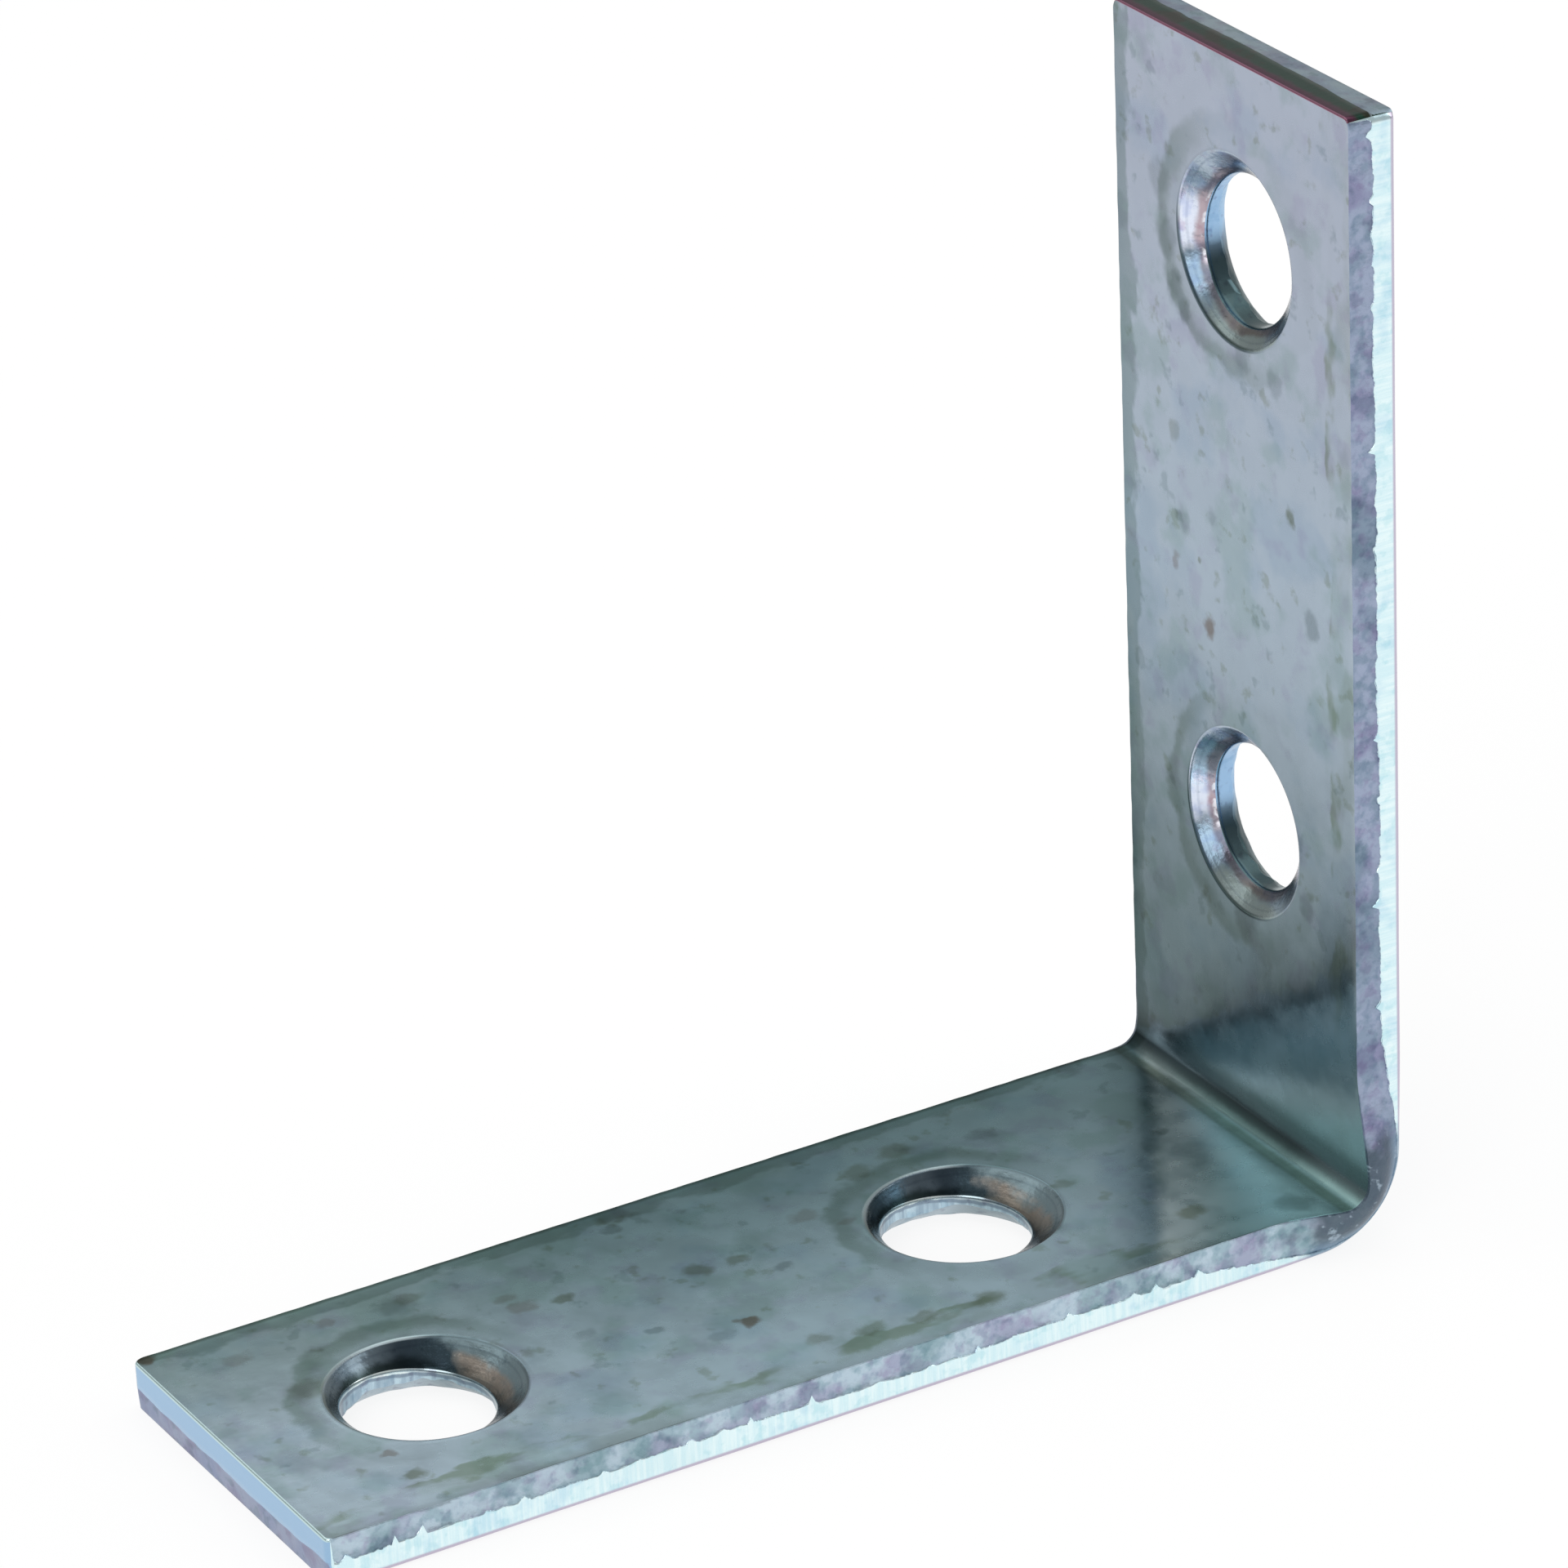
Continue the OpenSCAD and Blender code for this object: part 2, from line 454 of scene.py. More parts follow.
class ShearMarks:
    """What shearing and cropping left on the strip's rim: roll-over, burnish, tear and lean.

    The rim's section has fixed numbers of rows, and its other numbers are in mm. The smooth and the
    torn metal each stop a short way from the tear line, and the step between them lies in that gap.
    The torn metal is rough, and the smooth one has a fine waviness.
    """

    SPIKE_WIDTHS = (0.1, 0.26)
    SPIKE_HEIGHT = 0.34
    SPIKE_GAPS = (0.5, 2.6)
    FIRST_SPIKE = 0.6
    ROLL_ROWS = 6
    SMOOTH_ROWS = 4
    TORN_ROWS = 8
    ROWS = ROLL_ROWS + SMOOTH_ROWS + TORN_ROWS + 1
    SMOOTH_GAP = 0.012
    TORN_GAP = 0.014
    EDGE_STEP = 0.016
    EDGE_ROUGH = 0.05
    EDGE_HOLLOW = 0.03
    EDGE_FINE = 0.006
    EDGE_LEAST = 0.008
    END_STEP = 0.014
    END_ROUGH = 0.016
    END_FINE = 0.004
    TEAR = (Wave(0.06, 5.3), Wave(0.05, 1.7, 31.0), Wave(0.03, 0.6, 77.0), Wave(0.018, 0.27, 177.0))
    END_TEAR = (Wave(0.05, 2.3, 20.0), Wave(0.03, 0.8, 60.0), Wave(0.015, 0.25, 90.0))
    SCALLOP = Wave(0.03, 0.55, 140.0)

    def __init__(self, strip: StripSizes, fold: Fold) -> None:
        """Draw the spikes of the tear line.

        Args:
            strip: Sizes of the strip.
            fold: Gives the reach of the bend's swelling.
        """
        self.strip = strip
        self.fold = fold
        self.grain = {1: Grain(21), -1: Grain(22), 0: Grain(23)}
        self.roll = np.linspace(0.0, math.pi / 2, self.ROLL_ROWS)
        draw = np.random.default_rng(5)
        self.spikes: dict[int, list[Spike]] = {-1: [], 1: []}
        for spikes in self.spikes.values():
            s = self.FIRST_SPIKE
            while s < strip.length:
                width = draw.uniform(*self.SPIKE_WIDTHS)
                height = self.SPIKE_HEIGHT * draw.uniform(0.2, 1.0) ** 2
                spikes.append(Spike(s, width, height, draw.uniform(-0.8, 0.8)))
                s += draw.uniform(*self.SPIKE_GAPS)

    def tear(self, s: np.ndarray, side: int) -> np.ndarray:
        """Height above the outer face at which a long edge tore.

        Args:
            s: Places along the strip.
            side: -1 for the near edge, 1 for the far one.

        Returns:
            Heights in mm.
        """
        z = self.strip
        line = z.burnished + self.grain[side].waves(s, *self.TEAR)
        for spike in self.spikes[side]:
            away = (s - spike.place) / spike.width
            away = away * (1 + np.where(away > 0, 0.6, -0.6) * spike.skew)
            line = line + spike.height * np.clip(1 - np.abs(away), 0.0, 1.0) ** 1.3
        swollen = self.fold.swelling(s)
        fade = ease((np.abs(s - z.bend_middle) - 1.6) / 5.5)
        return np.clip(line * (0.36 + 0.64 * fade) * (1 - 0.2 * swollen), 0.27, 1.5)

    def end_tear(self, y: np.ndarray, s: np.ndarray) -> np.ndarray:
        """Height above the outer face below which a cropped end broke away."""
        g = self.grain[0]
        far = np.where(s > self.strip.length / 2, 50.0, 0.0)
        bow = 0.1 * (1 - (y / self.strip.half) ** 2)
        scallop = np.abs(g.waves(y + far, self.SCALLOP))
        return self.strip.end_broken - bow + 0.05 + g.waves(y + far, *self.END_TEAR) + scallop

    def rows(
        self, s: np.ndarray, y: np.ndarray, end: np.ndarray
    ) -> tuple[np.ndarray, np.ndarray, np.ndarray]:
        """Section of the rim at each of its points.

        Args:
            s: Places along the strip.
            y: Places across it.
            end: 1 on a cropped end, 0 on a long edge, between them at a corner.

        Returns:
            For each point and row: how far in it lies, its height, and how far it is past the tear.
        """
        sided = np.where(np.abs(y) < 1e-6, 1e-6, y)
        w = end[:, None]
        inset, height, past = [
            long * (1 - w) + cropped * w
            for long, cropped in zip(self._long(s, sided), self._end(s, sided))
        ]
        return inset, height, past

    def _rough(self, s: np.ndarray, h: np.ndarray, side: int) -> np.ndarray:
        """Roughness of torn metal, from -1 to 1."""
        g = self.grain[side]
        coarse = 0.5 * g.sheet(s + 9, h * 1.3, 0.75)
        return coarse + 0.33 * g.sheet(s + 59, h, 0.36) + 0.17 * g.sheet(s, h + 5, 0.2)

    def _body(self, share: float) -> float:
        """Give how rough the torn metal is at a share of its band, from the tear line on."""
        return math.sin(math.pi * min(share + 0.12, 1.0)) ** 0.6

    def _long(self, s: np.ndarray, y: np.ndarray) -> tuple[np.ndarray, np.ndarray, np.ndarray]:
        """Section of a long edge, from the outer face to the inner one."""
        z = self.strip
        inset = np.zeros((len(s), self.ROWS))
        height = np.zeros_like(inset)
        past = np.zeros_like(inset)
        for side in (-1, 1):
            here = np.sign(y) == side
            if not here.any():
                continue
            at = s[here]
            tear = self.tear(at, side)
            calm = 1 - 0.85 * self.fold.swelling(at)
            roll = z.roll_over * (1 + 0.12 * self.grain[side].line(at + 11, 3.7))
            ins, hei = [], []
            for a in self.roll:
                ins.append(roll * (1 - math.sin(a)))
                hei.append(roll * (1 - math.cos(a)))
            for share in np.arange(1, self.SMOOTH_ROWS + 1) / self.SMOOTH_ROWS:
                part = roll + (tear - self.SMOOTH_GAP - roll) * share
                ins.append(self.EDGE_FINE * (1 + self._rough(at * 1.4, part * 0.15, side)) * share)
                hei.append(part)
            step = self.EDGE_STEP + 0.014 * (1 + self.grain[side].line(at + 5, 0.5))
            torn_from = tear + self.TORN_GAP
            for share in np.arange(self.TORN_ROWS) / (self.TORN_ROWS - 1):
                part = torn_from + (z.sheet - z.arris - torn_from) * share
                uneven = self.EDGE_ROUGH * self._rough(at, part, side) + self.EDGE_HOLLOW
                lean = step + (z.lean - 0.02) * share + uneven * self._body(share) * calm
                ins.append(np.maximum(lean, self.EDGE_LEAST))
                hei.append(part)
            ins.append(ins[-1] + z.arris * (1 + 2.5 * (1 - calm)))
            hei.append(np.full_like(at, z.sheet))
            inset[here] = np.stack(ins, 1)
            height[here] = np.stack(hei, 1)
            past[here] = height[here] - tear[:, None]
        return inset, height, past

    def _end(self, s: np.ndarray, y: np.ndarray) -> tuple[np.ndarray, np.ndarray, np.ndarray]:
        """Section of a cropped end, from the outer face to the inner one."""
        z = self.strip
        tear = self.end_tear(y, s)
        far = np.where(s > z.length / 2, 30.0, 0.0)
        ins, hei = [], []
        for share in np.arange(self.TORN_ROWS) / (self.TORN_ROWS - 1):
            part = z.arris + (tear - self.TORN_GAP - z.arris) * share
            rough = self.END_ROUGH * self._rough(y + far, part, 0) * self._body(1 - share)
            lean = self.END_STEP + (z.end_lean - self.END_STEP) * (1 - share)
            ins.append(np.maximum(lean + rough, self.END_FINE))
            hei.append(part)
        ins.insert(0, ins[0] + z.arris)
        hei.insert(0, np.zeros_like(y))
        smooth_from = tear + self.SMOOTH_GAP
        for share in np.arange(self.SMOOTH_ROWS) / self.SMOOTH_ROWS:
            part = smooth_from + (z.sheet - z.end_roll - smooth_from) * share
            ins.append(self.END_FINE * (1 + self._rough(y * 1.4 + far, part * 0.15, 0)))
            hei.append(part)
        for a in self.roll[::-1]:
            ins.append(np.full_like(y, z.end_roll * (1 - math.sin(a))))
            hei.append(np.full_like(y, z.sheet - z.end_roll * (1 - math.cos(a))))
        height = np.stack(hei, 1)
        return np.stack(ins, 1), height, tear[:, None] - height


@dataclass(frozen=True)
class WallRing:
    """One ring of a hole's wall in mm, with its share of how far the countersink sits off."""

    radius: np.ndarray | float
    height: np.ndarray | float
    region: Region
    past: np.ndarray | float = -1.0
    off: float = 0.0


class BracketSkin:
    """Mesh of the whole bracket, built flat with its relief and then folded.

    The lengths are in mm: how far in from the rim a face's points are moved, how wide and how deep
    the inner face droops to its arris, how deep it waves, and how far in from the rim it lies still.
    The waves, the flare's step and its roughness are those of a hole's wall, and the numbers of rings
    count its parts. The shares say how square each ring of a face round a hole still is.
    """

    DRAWN_W = 0.8
    DROOP_W = 0.95
    DROOP = 0.03
    WAVE = 0.006
    STILL_W = 0.3
    FOOT_WAVE = Wave(0.02, 1.3)
    CHATTER = Wave(0.003, 0.7)
    BORE_WAVE = Wave(0.004, 0.9)
    FLARE_WAVES = (Wave(0.1, 0.9, 50.0), Wave(0.05, 0.3))
    FLARE_EDGE = Wave(0.04, 0.4, 200.0)
    FLARE_STEP = 0.03
    FLARE_ROUGH = 0.03
    RIM_RINGS = 5
    FACE_RINGS = 2
    CONE_RINGS = 8
    BORE_RINGS = 4
    FLARE_RINGS = 7
    SQUARE_SHARES = (0.62, 0.34, 0.14, 0.04, 0.0)
    SHARP_DEGREES = 42

    def __init__(self, strip: StripSizes, holes: HoleSizes) -> None:
        """Prepare the parts that the mesh is built from.

        Args:
            strip: Sizes of the strip.
            holes: Sizes of the screw holes.
        """
        self.strip = strip
        self.holes = holes
        self.fold = Fold(strip)
        self.marks = ShearMarks(strip, self.fold)
        self.grid = SkinGrid(strip, holes)
        self.relief = Grain(31)
        self.flat: list[np.ndarray] = []
        self.past: list[np.ndarray] = []
        self.count = 0
        self.faces: list[list[int]] = []
        self.regions: list[int] = []
        self.loops: dict[Side, list[tuple[np.ndarray, np.ndarray]]] = {}
        self.rim_past: list[tuple[np.ndarray, np.ndarray]] = []

    def _add(self, flat: np.ndarray, past: np.ndarray | float = 0.0) -> np.ndarray:
        """Add points of the flat strip.

        Args:
            flat: Rows of (along, across, height) in mm.
            past: How far each point lies past a tear line, in mm.

        Returns:
            The numbers of the new points.
        """
        flat = np.atleast_2d(flat)
        self.flat.append(flat)
        self.past.append(np.broadcast_to(past, (len(flat),)).astype(float))
        numbers = np.arange(self.count, self.count + len(flat))
        self.count += len(flat)
        return numbers

    def _face(self, corners: Sequence[int], region: Region) -> None:
        """Add a face."""
        self.faces.append([int(c) for c in corners])
        self.regions.append(region.value)

    def _inward(self, s: np.ndarray, y: np.ndarray) -> tuple[np.ndarray, np.ndarray, np.ndarray]:
        """Nearest rim of the flat strip.

        Args:
            s: Places along the strip.
            y: Places across it.

        Returns:
            Distance to the rim, unit direction inwards, and 1 where that rim is a cropped end.
        """
        z, r = self.strip, self.strip.corner_r
        flip = np.where(s > z.length / 2, -1.0, 1.0)
        e = np.where(s > z.length / 2, z.length - s, s)
        a = z.half - np.abs(y)
        corner = (e < r) & (a < r)
        long = np.where(corner, np.hypot(r - e, r - a), 1.0)
        long = np.maximum(long, 1e-9)
        use_end = e < a
        de = np.where(corner, (r - e) / long, np.where(use_end, 1.0, 0.0))
        da = np.where(corner, (r - a) / long, np.where(use_end, 0.0, 1.0))
        depth = np.where(corner, r - long, np.minimum(e, a))
        return depth, np.stack([de * flip, -np.sign(y) * da], 1), ease(de**2)

    def _settle(self, s: np.ndarray, y: np.ndarray, side: Side) -> np.ndarray:
        """Draw a face's points in from the rim by what the rim's section takes, and give them relief.

        Args:
            s: Places along the strip.
            y: Places across it.
            side: The face they lie on.

        Returns:
            Rows of (along, across, height) in mm.
        """
        z = self.strip
        depth, inward, end = self._inward(s, y)
        row = 0 if side is Side.OUTER else ShearMarks.ROWS - 1
        rim = self.marks.rows(s, y, end)[0][:, row]
        shift = rim * np.clip(1 - depth / self.DRAWN_W, 0.0, 1.0)
        height = np.full_like(s, z.sheet * side.value)
        if side is Side.INNER:
            near = ease((self.DROOP_W - z.half + np.abs(y)) / self.DROOP_W)
            droop = self.DROOP * near * (1 + 0.4 * self.relief.line(s + 3, 2.9))
            wave = self.WAVE * np.abs(self.relief.sheet(s, y + 30, 5.0))
            still = np.clip(depth / self.STILL_W, 0.0, 1.0)
            height = height - (droop + wave) * still * (1 - self.fold.swelling(s))
        return np.stack([s + inward[:, 0] * shift, y + inward[:, 1] * shift, height], 1)

    def _reach(self, s: np.ndarray) -> np.ndarray:
        """Half width of the strip at a place along it, with its rounded plan corners."""
        r = self.strip.corner_r
        e = np.minimum(s, self.strip.length - s)
        inside = np.clip(r - e, 0.0, r)
        return self.strip.half - (r - np.sqrt(r * r - inside**2))

    def _shift(self, centre: float) -> tuple[float, float]:
        """Give how far a countersink sits off its bore, along and across the strip."""
        k = self.holes.centres(self.strip).index(centre)
        return self.holes.sink_shift[k], self.holes.sink_across[k]

    def _face_grid(self, side: Side) -> np.ndarray:
        """Build one face of the sheet with open square patches round the holes, then fill those.

        Args:
            side: Which face.

        Returns:
            The numbers of its rim points, in turn round the strip.
        """
        grid = self.grid
        columns, at = grid.fine()
        rows = grid.rows()
        reach = self._reach(columns)
        fine: dict[int, list[np.ndarray]] = {}
        for edge in (-1, 1):
            fine[edge] = [self._add(self._settle(columns, edge * (reach - d), side)) for d in grid.edge_rows]
        knots = np.array(grid.knots)
        low = len(grid.flank)
        high = low + grid.across_cells
        coarse = np.full((len(rows), len(knots)), -1)
        for j, y in enumerate(rows):
            keep = np.ones(len(knots), bool)
            if low < j < high:
                for a, b in grid.patches:
                    keep[a + 1 : b] = False
            coarse[j, keep] = self._add(self._settle(knots[keep], np.full(keep.sum(), y), side))
        for j in range(len(rows) - 1):
            for i in range(len(knots) - 1):
                if low <= j < high and any(a <= i < b for a, b in grid.patches):
                    continue
                corners = [coarse[j, i], coarse[j, i + 1], coarse[j + 1, i + 1], coarse[j + 1, i]]
                self._face(corners, Region.FACE)
        for edge in (-1, 1):
            row = coarse[0 if edge < 0 else -1]
            last = fine[edge][-1]
            for i in range(len(knots) - 1):
                run = list(last[at[i] : at[i + 1] + 1])
                self._face([row[i], row[i + 1], *reversed(run)], Region.FACE)
            for upper, lower in zip(fine[edge], fine[edge][1:]):
                for i in range(len(columns) - 1):
                    self._face([upper[i], upper[i + 1], lower[i + 1], lower[i]], Region.FACE)
        loops = []
        for (a, b), centre in zip(grid.patches, self.holes.centres(self.strip)):
            along, across = self._shift(centre) if side is Side.INNER else (0.0, 0.0)
            loops.append(self._patch(coarse, (a, b, low, high), (centre + along, across), side))
        self.loops[side] = loops
        start = [row[0] for row in fine[-1]] + list(coarse[:, 0]) + [row[0] for row in fine[1][:0:-1]]
        stop = [row[-1] for row in fine[1]] + list(coarse[::-1, -1]) + [row[-1] for row in fine[-1][:0:-1]]
        return np.array([*start, *fine[1][0][:-1], *stop, *fine[-1][0][:0:-1]])

    def _patch(
        self, coarse: np.ndarray, span: tuple[int, int, int, int], centre: tuple[float, float], side: Side
    ) -> tuple[np.ndarray, np.ndarray]:
        """Fill the square round a hole with rings that turn from square to round.

        Args:
            coarse: Numbers of the face's coarse grid.
            span: First and last column and row of the square.
            centre: Middle of the ring, along and across the strip.
            side: Which face.

        Returns:
            The numbers of the innermost ring, and the angle of each of its points.
        """
        a, b, low, high = span
        knots, rows = self.grid.knots, self.grid.rows()
        around = [(i, low) for i in range(a, b)] + [(b, j) for j in range(low, high)]
        around += [(i, high) for i in range(b, a, -1)] + [(a, j) for j in range(high, low, -1)]
        edge = np.array([(knots[i], rows[j]) for i, j in around])
        n, m = b - a, high - low
        quarter = [np.arange(k) / k * math.pi / 2 for k in (n, m, n, m)]
        turn = np.concatenate([q + math.pi / 2 * k for k, q in enumerate(quarter)]) - math.pi * 3 / 4
        radius = self.holes.mouth_r if side is Side.INNER else self.holes.bore_r + self.holes.flare
        if side is Side.OUTER:
            radius = radius + self.relief.waves(turn * self.holes.bore_r + centre[0], self.FLARE_EDGE)
        ring = np.stack([centre[0] + radius * np.cos(turn), centre[1] + radius * np.sin(turn)], 1)
        before = np.array([coarse[j, i] for i, j in around])
        for share in self.SQUARE_SHARES:
            place = ring * (1 - share) + edge * share
            if share:
                flat = self._settle(place[:, 0], place[:, 1], side)
            else:
                flat = np.column_stack([place, np.full(len(place), self.strip.sheet * side.value)])
            numbers = self._add(flat)
            self._ring(before, numbers, Region.FACE)
            before = numbers
        return before, turn

    def _rim(self, outer: np.ndarray, inner: np.ndarray) -> None:
        """Join both faces by the sheared edges and the cropped ends.

        Args:
            outer: Numbers of the outer face's rim points.
            inner: Numbers of the inner face's rim points, in the same order.
        """
        grid = self.grid
        columns, _ = grid.fine()
        reach = self._reach(columns)
        rows = np.array(grid.rows())
        steps = np.array(grid.edge_rows)
        start = [(columns[0], -(reach[0] - d)) for d in steps] + [(columns[0], y) for y in rows]
        start += [(columns[0], reach[0] - d) for d in steps[:0:-1]]
        far = list(zip(columns[:-1], reach[:-1]))
        stop = [(columns[-1], reach[-1] - d) for d in steps] + [(columns[-1], y) for y in rows[::-1]]
        stop += [(columns[-1], -(reach[-1] - d)) for d in steps[:0:-1]]
        near = list(zip(columns[:0:-1], -reach[:0:-1]))
        plan = np.array(start + far + stop + near)
        s, y = plan.T
        _, inward, end = self._inward(s, y)
        inset, height, past = self.marks.rows(s, y, end)
        lines = [outer]
        for row in range(1, ShearMarks.ROWS - 1):
            place = plan + inward * inset[:, row : row + 1]
            lines.append(self._add(np.column_stack([place, height[:, row]]), past[:, row]))
        lines.append(inner)
        self.rim_past = [(outer, past[:, 0]), (inner, past[:, -1])]
        total = len(plan)
        for below, above in zip(lines, lines[1:]):
            for k in range(total):
                q = (k + 1) % total
                region = Region.CROPPED_END if end[k] + end[q] > 1.0 else Region.SHEARED_EDGE
                self._face([below[k], below[q], above[q], above[k]], region)

    def _wall(
        self,
        centre: float,
        inner: tuple[np.ndarray, np.ndarray],
        outer: tuple[np.ndarray, np.ndarray],
    ) -> None:
        """Build a hole's wall: soft rim, cone, bore and the torn flare where the punch broke out.

        Args:
            centre: Distance of the hole along the strip.
            inner: Ring on the inner face and its angles.
            outer: Ring on the outer face and its angles.
        """
        z, hole = self.strip, self.holes
        turn = inner[1]
        round_mm = turn * hole.bore_r + centre
        g = self.relief
        gap = ShearMarks.TORN_GAP
        tilt = hole.wall_angle
        shift, across = self._shift(centre)
        section: list[WallRing] = []
        for k in range(1, self.RIM_RINGS + 1):
            a = tilt * k / self.RIM_RINGS
            r = hole.mouth_r - hole.rim_r * math.sin(a)
            h = z.sheet - hole.rim_r * (1 - math.cos(a))
            region = Region.FACE if k <= self.FACE_RINGS else Region.COUNTERSINK
            section.append(WallRing(r, h, region, off=1.0))
        rim = section[-1]
        foot = z.sheet - hole.sink_depth + g.waves(round_mm, self.FOOT_WAVE)
        foot = foot - shift * np.cos(turn) * math.tan(tilt)
        for k in range(1, self.CONE_RINGS + 1):
            share = k / self.CONE_RINGS
            r = rim.radius + (hole.bore_r + hole.foot_w - rim.radius) * share
            h = rim.height + (foot + hole.foot_h - rim.height) * share
            chatter = 0.0015 * math.sin(share * 26.0) + g.waves(round_mm + k * 7, self.CHATTER)
            section.append(WallRing(r + chatter, h, Region.COUNTERSINK, off=1.0 - share))
        top = foot - hole.foot_h
        section.append(WallRing(hole.bore_r, top, Region.BORE))
        tear = hole.flare_depth + g.waves(round_mm, *self.FLARE_WAVES)
        bore = hole.bore_r + g.waves(turn * 25 + centre, self.BORE_WAVE)
        for k in range(1, self.BORE_RINGS + 1):
            h = top + (tear + gap - top) * k / self.BORE_RINGS
            section.append(WallRing(bore, h, Region.BORE, tear - h))
        for k in range(self.FLARE_RINGS):
            share = k / self.FLARE_RINGS
            h = (tear - gap) * (1 - share)
            flare = self.FLARE_STEP + (hole.flare - 0.05) * share**1.3
            body = math.sin(math.pi * (share * 0.9 + 0.1))
            rough = self.FLARE_ROUGH * g.sheet(turn * hole.bore_r + centre * 3, h + 20, 0.33) * body
            section.append(WallRing(hole.bore_r + flare + rough, h, Region.BORE, tear - h))
        before, region = inner[0], Region.FACE
        for ring in section:
            x = centre + ring.off * shift + ring.radius * np.cos(turn)
            y = ring.off * across + ring.radius * np.sin(turn)
            place = np.column_stack([x, y, np.broadcast_to(ring.height, turn.shape)])
            numbers = self._add(place, ring.past)
            self._ring(before, numbers, ring.region)
            before, region = numbers, ring.region
        self._ring(before, outer[0], region)

    def _ring(self, before: np.ndarray, after: np.ndarray, region: Region) -> None:
        """Join two rings of equal length by faces."""
        for k in range(len(before)):
            q = (k + 1) % len(before)
            self._face([before[k], before[q], after[q], after[k]], region)

    def build(self) -> bpy.types.Object:
        """Make the bracket's mesh object.

        Returns:
            The object, with its faces numbered by region and the flat coordinates as attributes.
        """
        rims = {side: self._face_grid(side) for side in (Side.OUTER, Side.INNER)}
        self._rim(rims[Side.OUTER], rims[Side.INNER])
        for k, centre in enumerate(self.holes.centres(self.strip)):
            self._wall(centre, self.loops[Side.INNER][k], self.loops[Side.OUTER][k])
        flat = np.concatenate(self.flat)
        place = self.fold.carry(flat) * MM
        mesh = bpy.data.meshes.new(NODE + "_skin")
        mesh.from_pydata(place.tolist(), [], self.faces)
        mesh.polygons.foreach_set("material_index", self.regions)
        for name, values in self._coordinates(flat).items():
            kind, key = ("FLOAT", "value") if values.ndim == 1 else ("FLOAT_VECTOR", "vector")
            layer = mesh.attributes.new(name, kind, "POINT")
            layer.data.foreach_set(key, values.ravel())
        self._finish_mesh(mesh)
        piece = bpy.data.objects.new(NODE + "_skin", mesh)
        bpy.context.scene.collection.objects.link(piece)
        return piece

    def _coordinates(self, flat: np.ndarray) -> dict[str, np.ndarray]:
        """Work out the coordinates that the finishes read.

        Args:
            flat: Rows of (along, across, height) in mm.

        Returns:
            By attribute: the flat place, how far past the tear, the place from the middle of the
            nearest countersink with its distance, and how far below the foot of its cone.
        """
        past = np.concatenate(self.past)
        for numbers, values in self.rim_past:
            past[numbers] = values
        centres = np.array(self.holes.centres(self.strip))
        nearest = np.abs(flat[:, :1] - centres).argmin(1)
        shift = np.array(self.holes.sink_shift)[nearest]
        off = flat[:, 0] - centres[nearest]
        aside = flat[:, 1] - np.array(self.holes.sink_across)[nearest]
        from_hole = np.column_stack([off - shift, aside, np.hypot(off - shift, aside)])
        turned = off / np.maximum(np.hypot(off, flat[:, 1]), 1e-6)
        foot = self.strip.sheet - self.holes.sink_depth - shift * turned * math.tan(self.holes.wall_angle)
        return {
            "flat_mm": flat,
            "past_tear_mm": past,
            "from_hole_mm": from_hole,
            "below_cone_mm": foot - flat[:, 2],
        }

    def _finish_mesh(self, mesh: bpy.types.Mesh) -> None:
        """Turn the faces outwards, check that the skin is closed and shade it smooth.

        Args:
            mesh: The mesh to finish.
        """
        work = bmesh.new()
        work.from_mesh(mesh)
        bmesh.ops.recalc_face_normals(work, faces=work.faces)
        if work.calc_volume(signed=True) < 0:
            bmesh.ops.reverse_faces(work, faces=work.faces)
        opened = sum(1 for e in work.edges if not e.is_manifold)
        loose = sum(1 for v in work.verts if not v.link_faces)
        LOG.info("skin: %d faces, %d open edges, %d loose points", len(work.faces), opened, loose)
        LOG.info("skin: %.1f mm3", work.calc_volume(signed=True) * 1e9)
        work.to_mesh(mesh)
        work.free()
        mesh.shade_smooth()
        mesh.set_sharp_from_angle(angle=math.radians(self.SHARP_DEGREES))


Socket = bpy.types.NodeSocket

SMOOTH = {"interpolation_type": "SMOOTHSTEP"}
BLEND = {"data_type": "RGBA"}
TINTED = {"data_type": "RGBA", "blend_type": "MULTIPLY"}
SEEDED = {"noise_dimensions": "4D"}
TIMES = {"operation": "MULTIPLY"}
PLUS = {"operation": "ADD"}
LESS = {"operation": "SUBTRACT"}
TIMES_PLUS = {"operation": "MULTIPLY_ADD"}
GREATER = {"operation": "MAXIMUM"}


def add_node(
    tree: bpy.types.NodeTree,
    kind: str,
    settings: dict[str, object] | None = None,
    sockets: dict[int | str, object] | None = None,
    out: int | str = 0,
) -> Socket | None:
    """Add a node with its settings, and set or link its inputs.

    Args:
        tree: The node tree.
        kind: The node's type, without the ShaderNode in front.
        settings: Properties of the node.
        sockets: Inputs by name or number, each a value or an output to link.
        out: Name or number of the output that is wanted.

    Returns:
        That output, or nothing where the node has no outputs.
    """
    node = tree.nodes.new("ShaderNode" + kind)
    for name, value in (settings or {}).items():
        setattr(node, name, value)
    for key, value in (sockets or {}).items():
        if isinstance(value, Socket):
            tree.links.new(value, node.inputs[key])
        else:
            node.inputs[key].default_value = value
    return node.outputs[out] if node.outputs else None


@dataclass(frozen=True)
class Ramp:
    """A smooth change along a coordinate, from its least where it is clear to its most where it is full."""

    of: Socket
    clear: float
    full: float
    most: float = 1.0
    least: float = 0.0


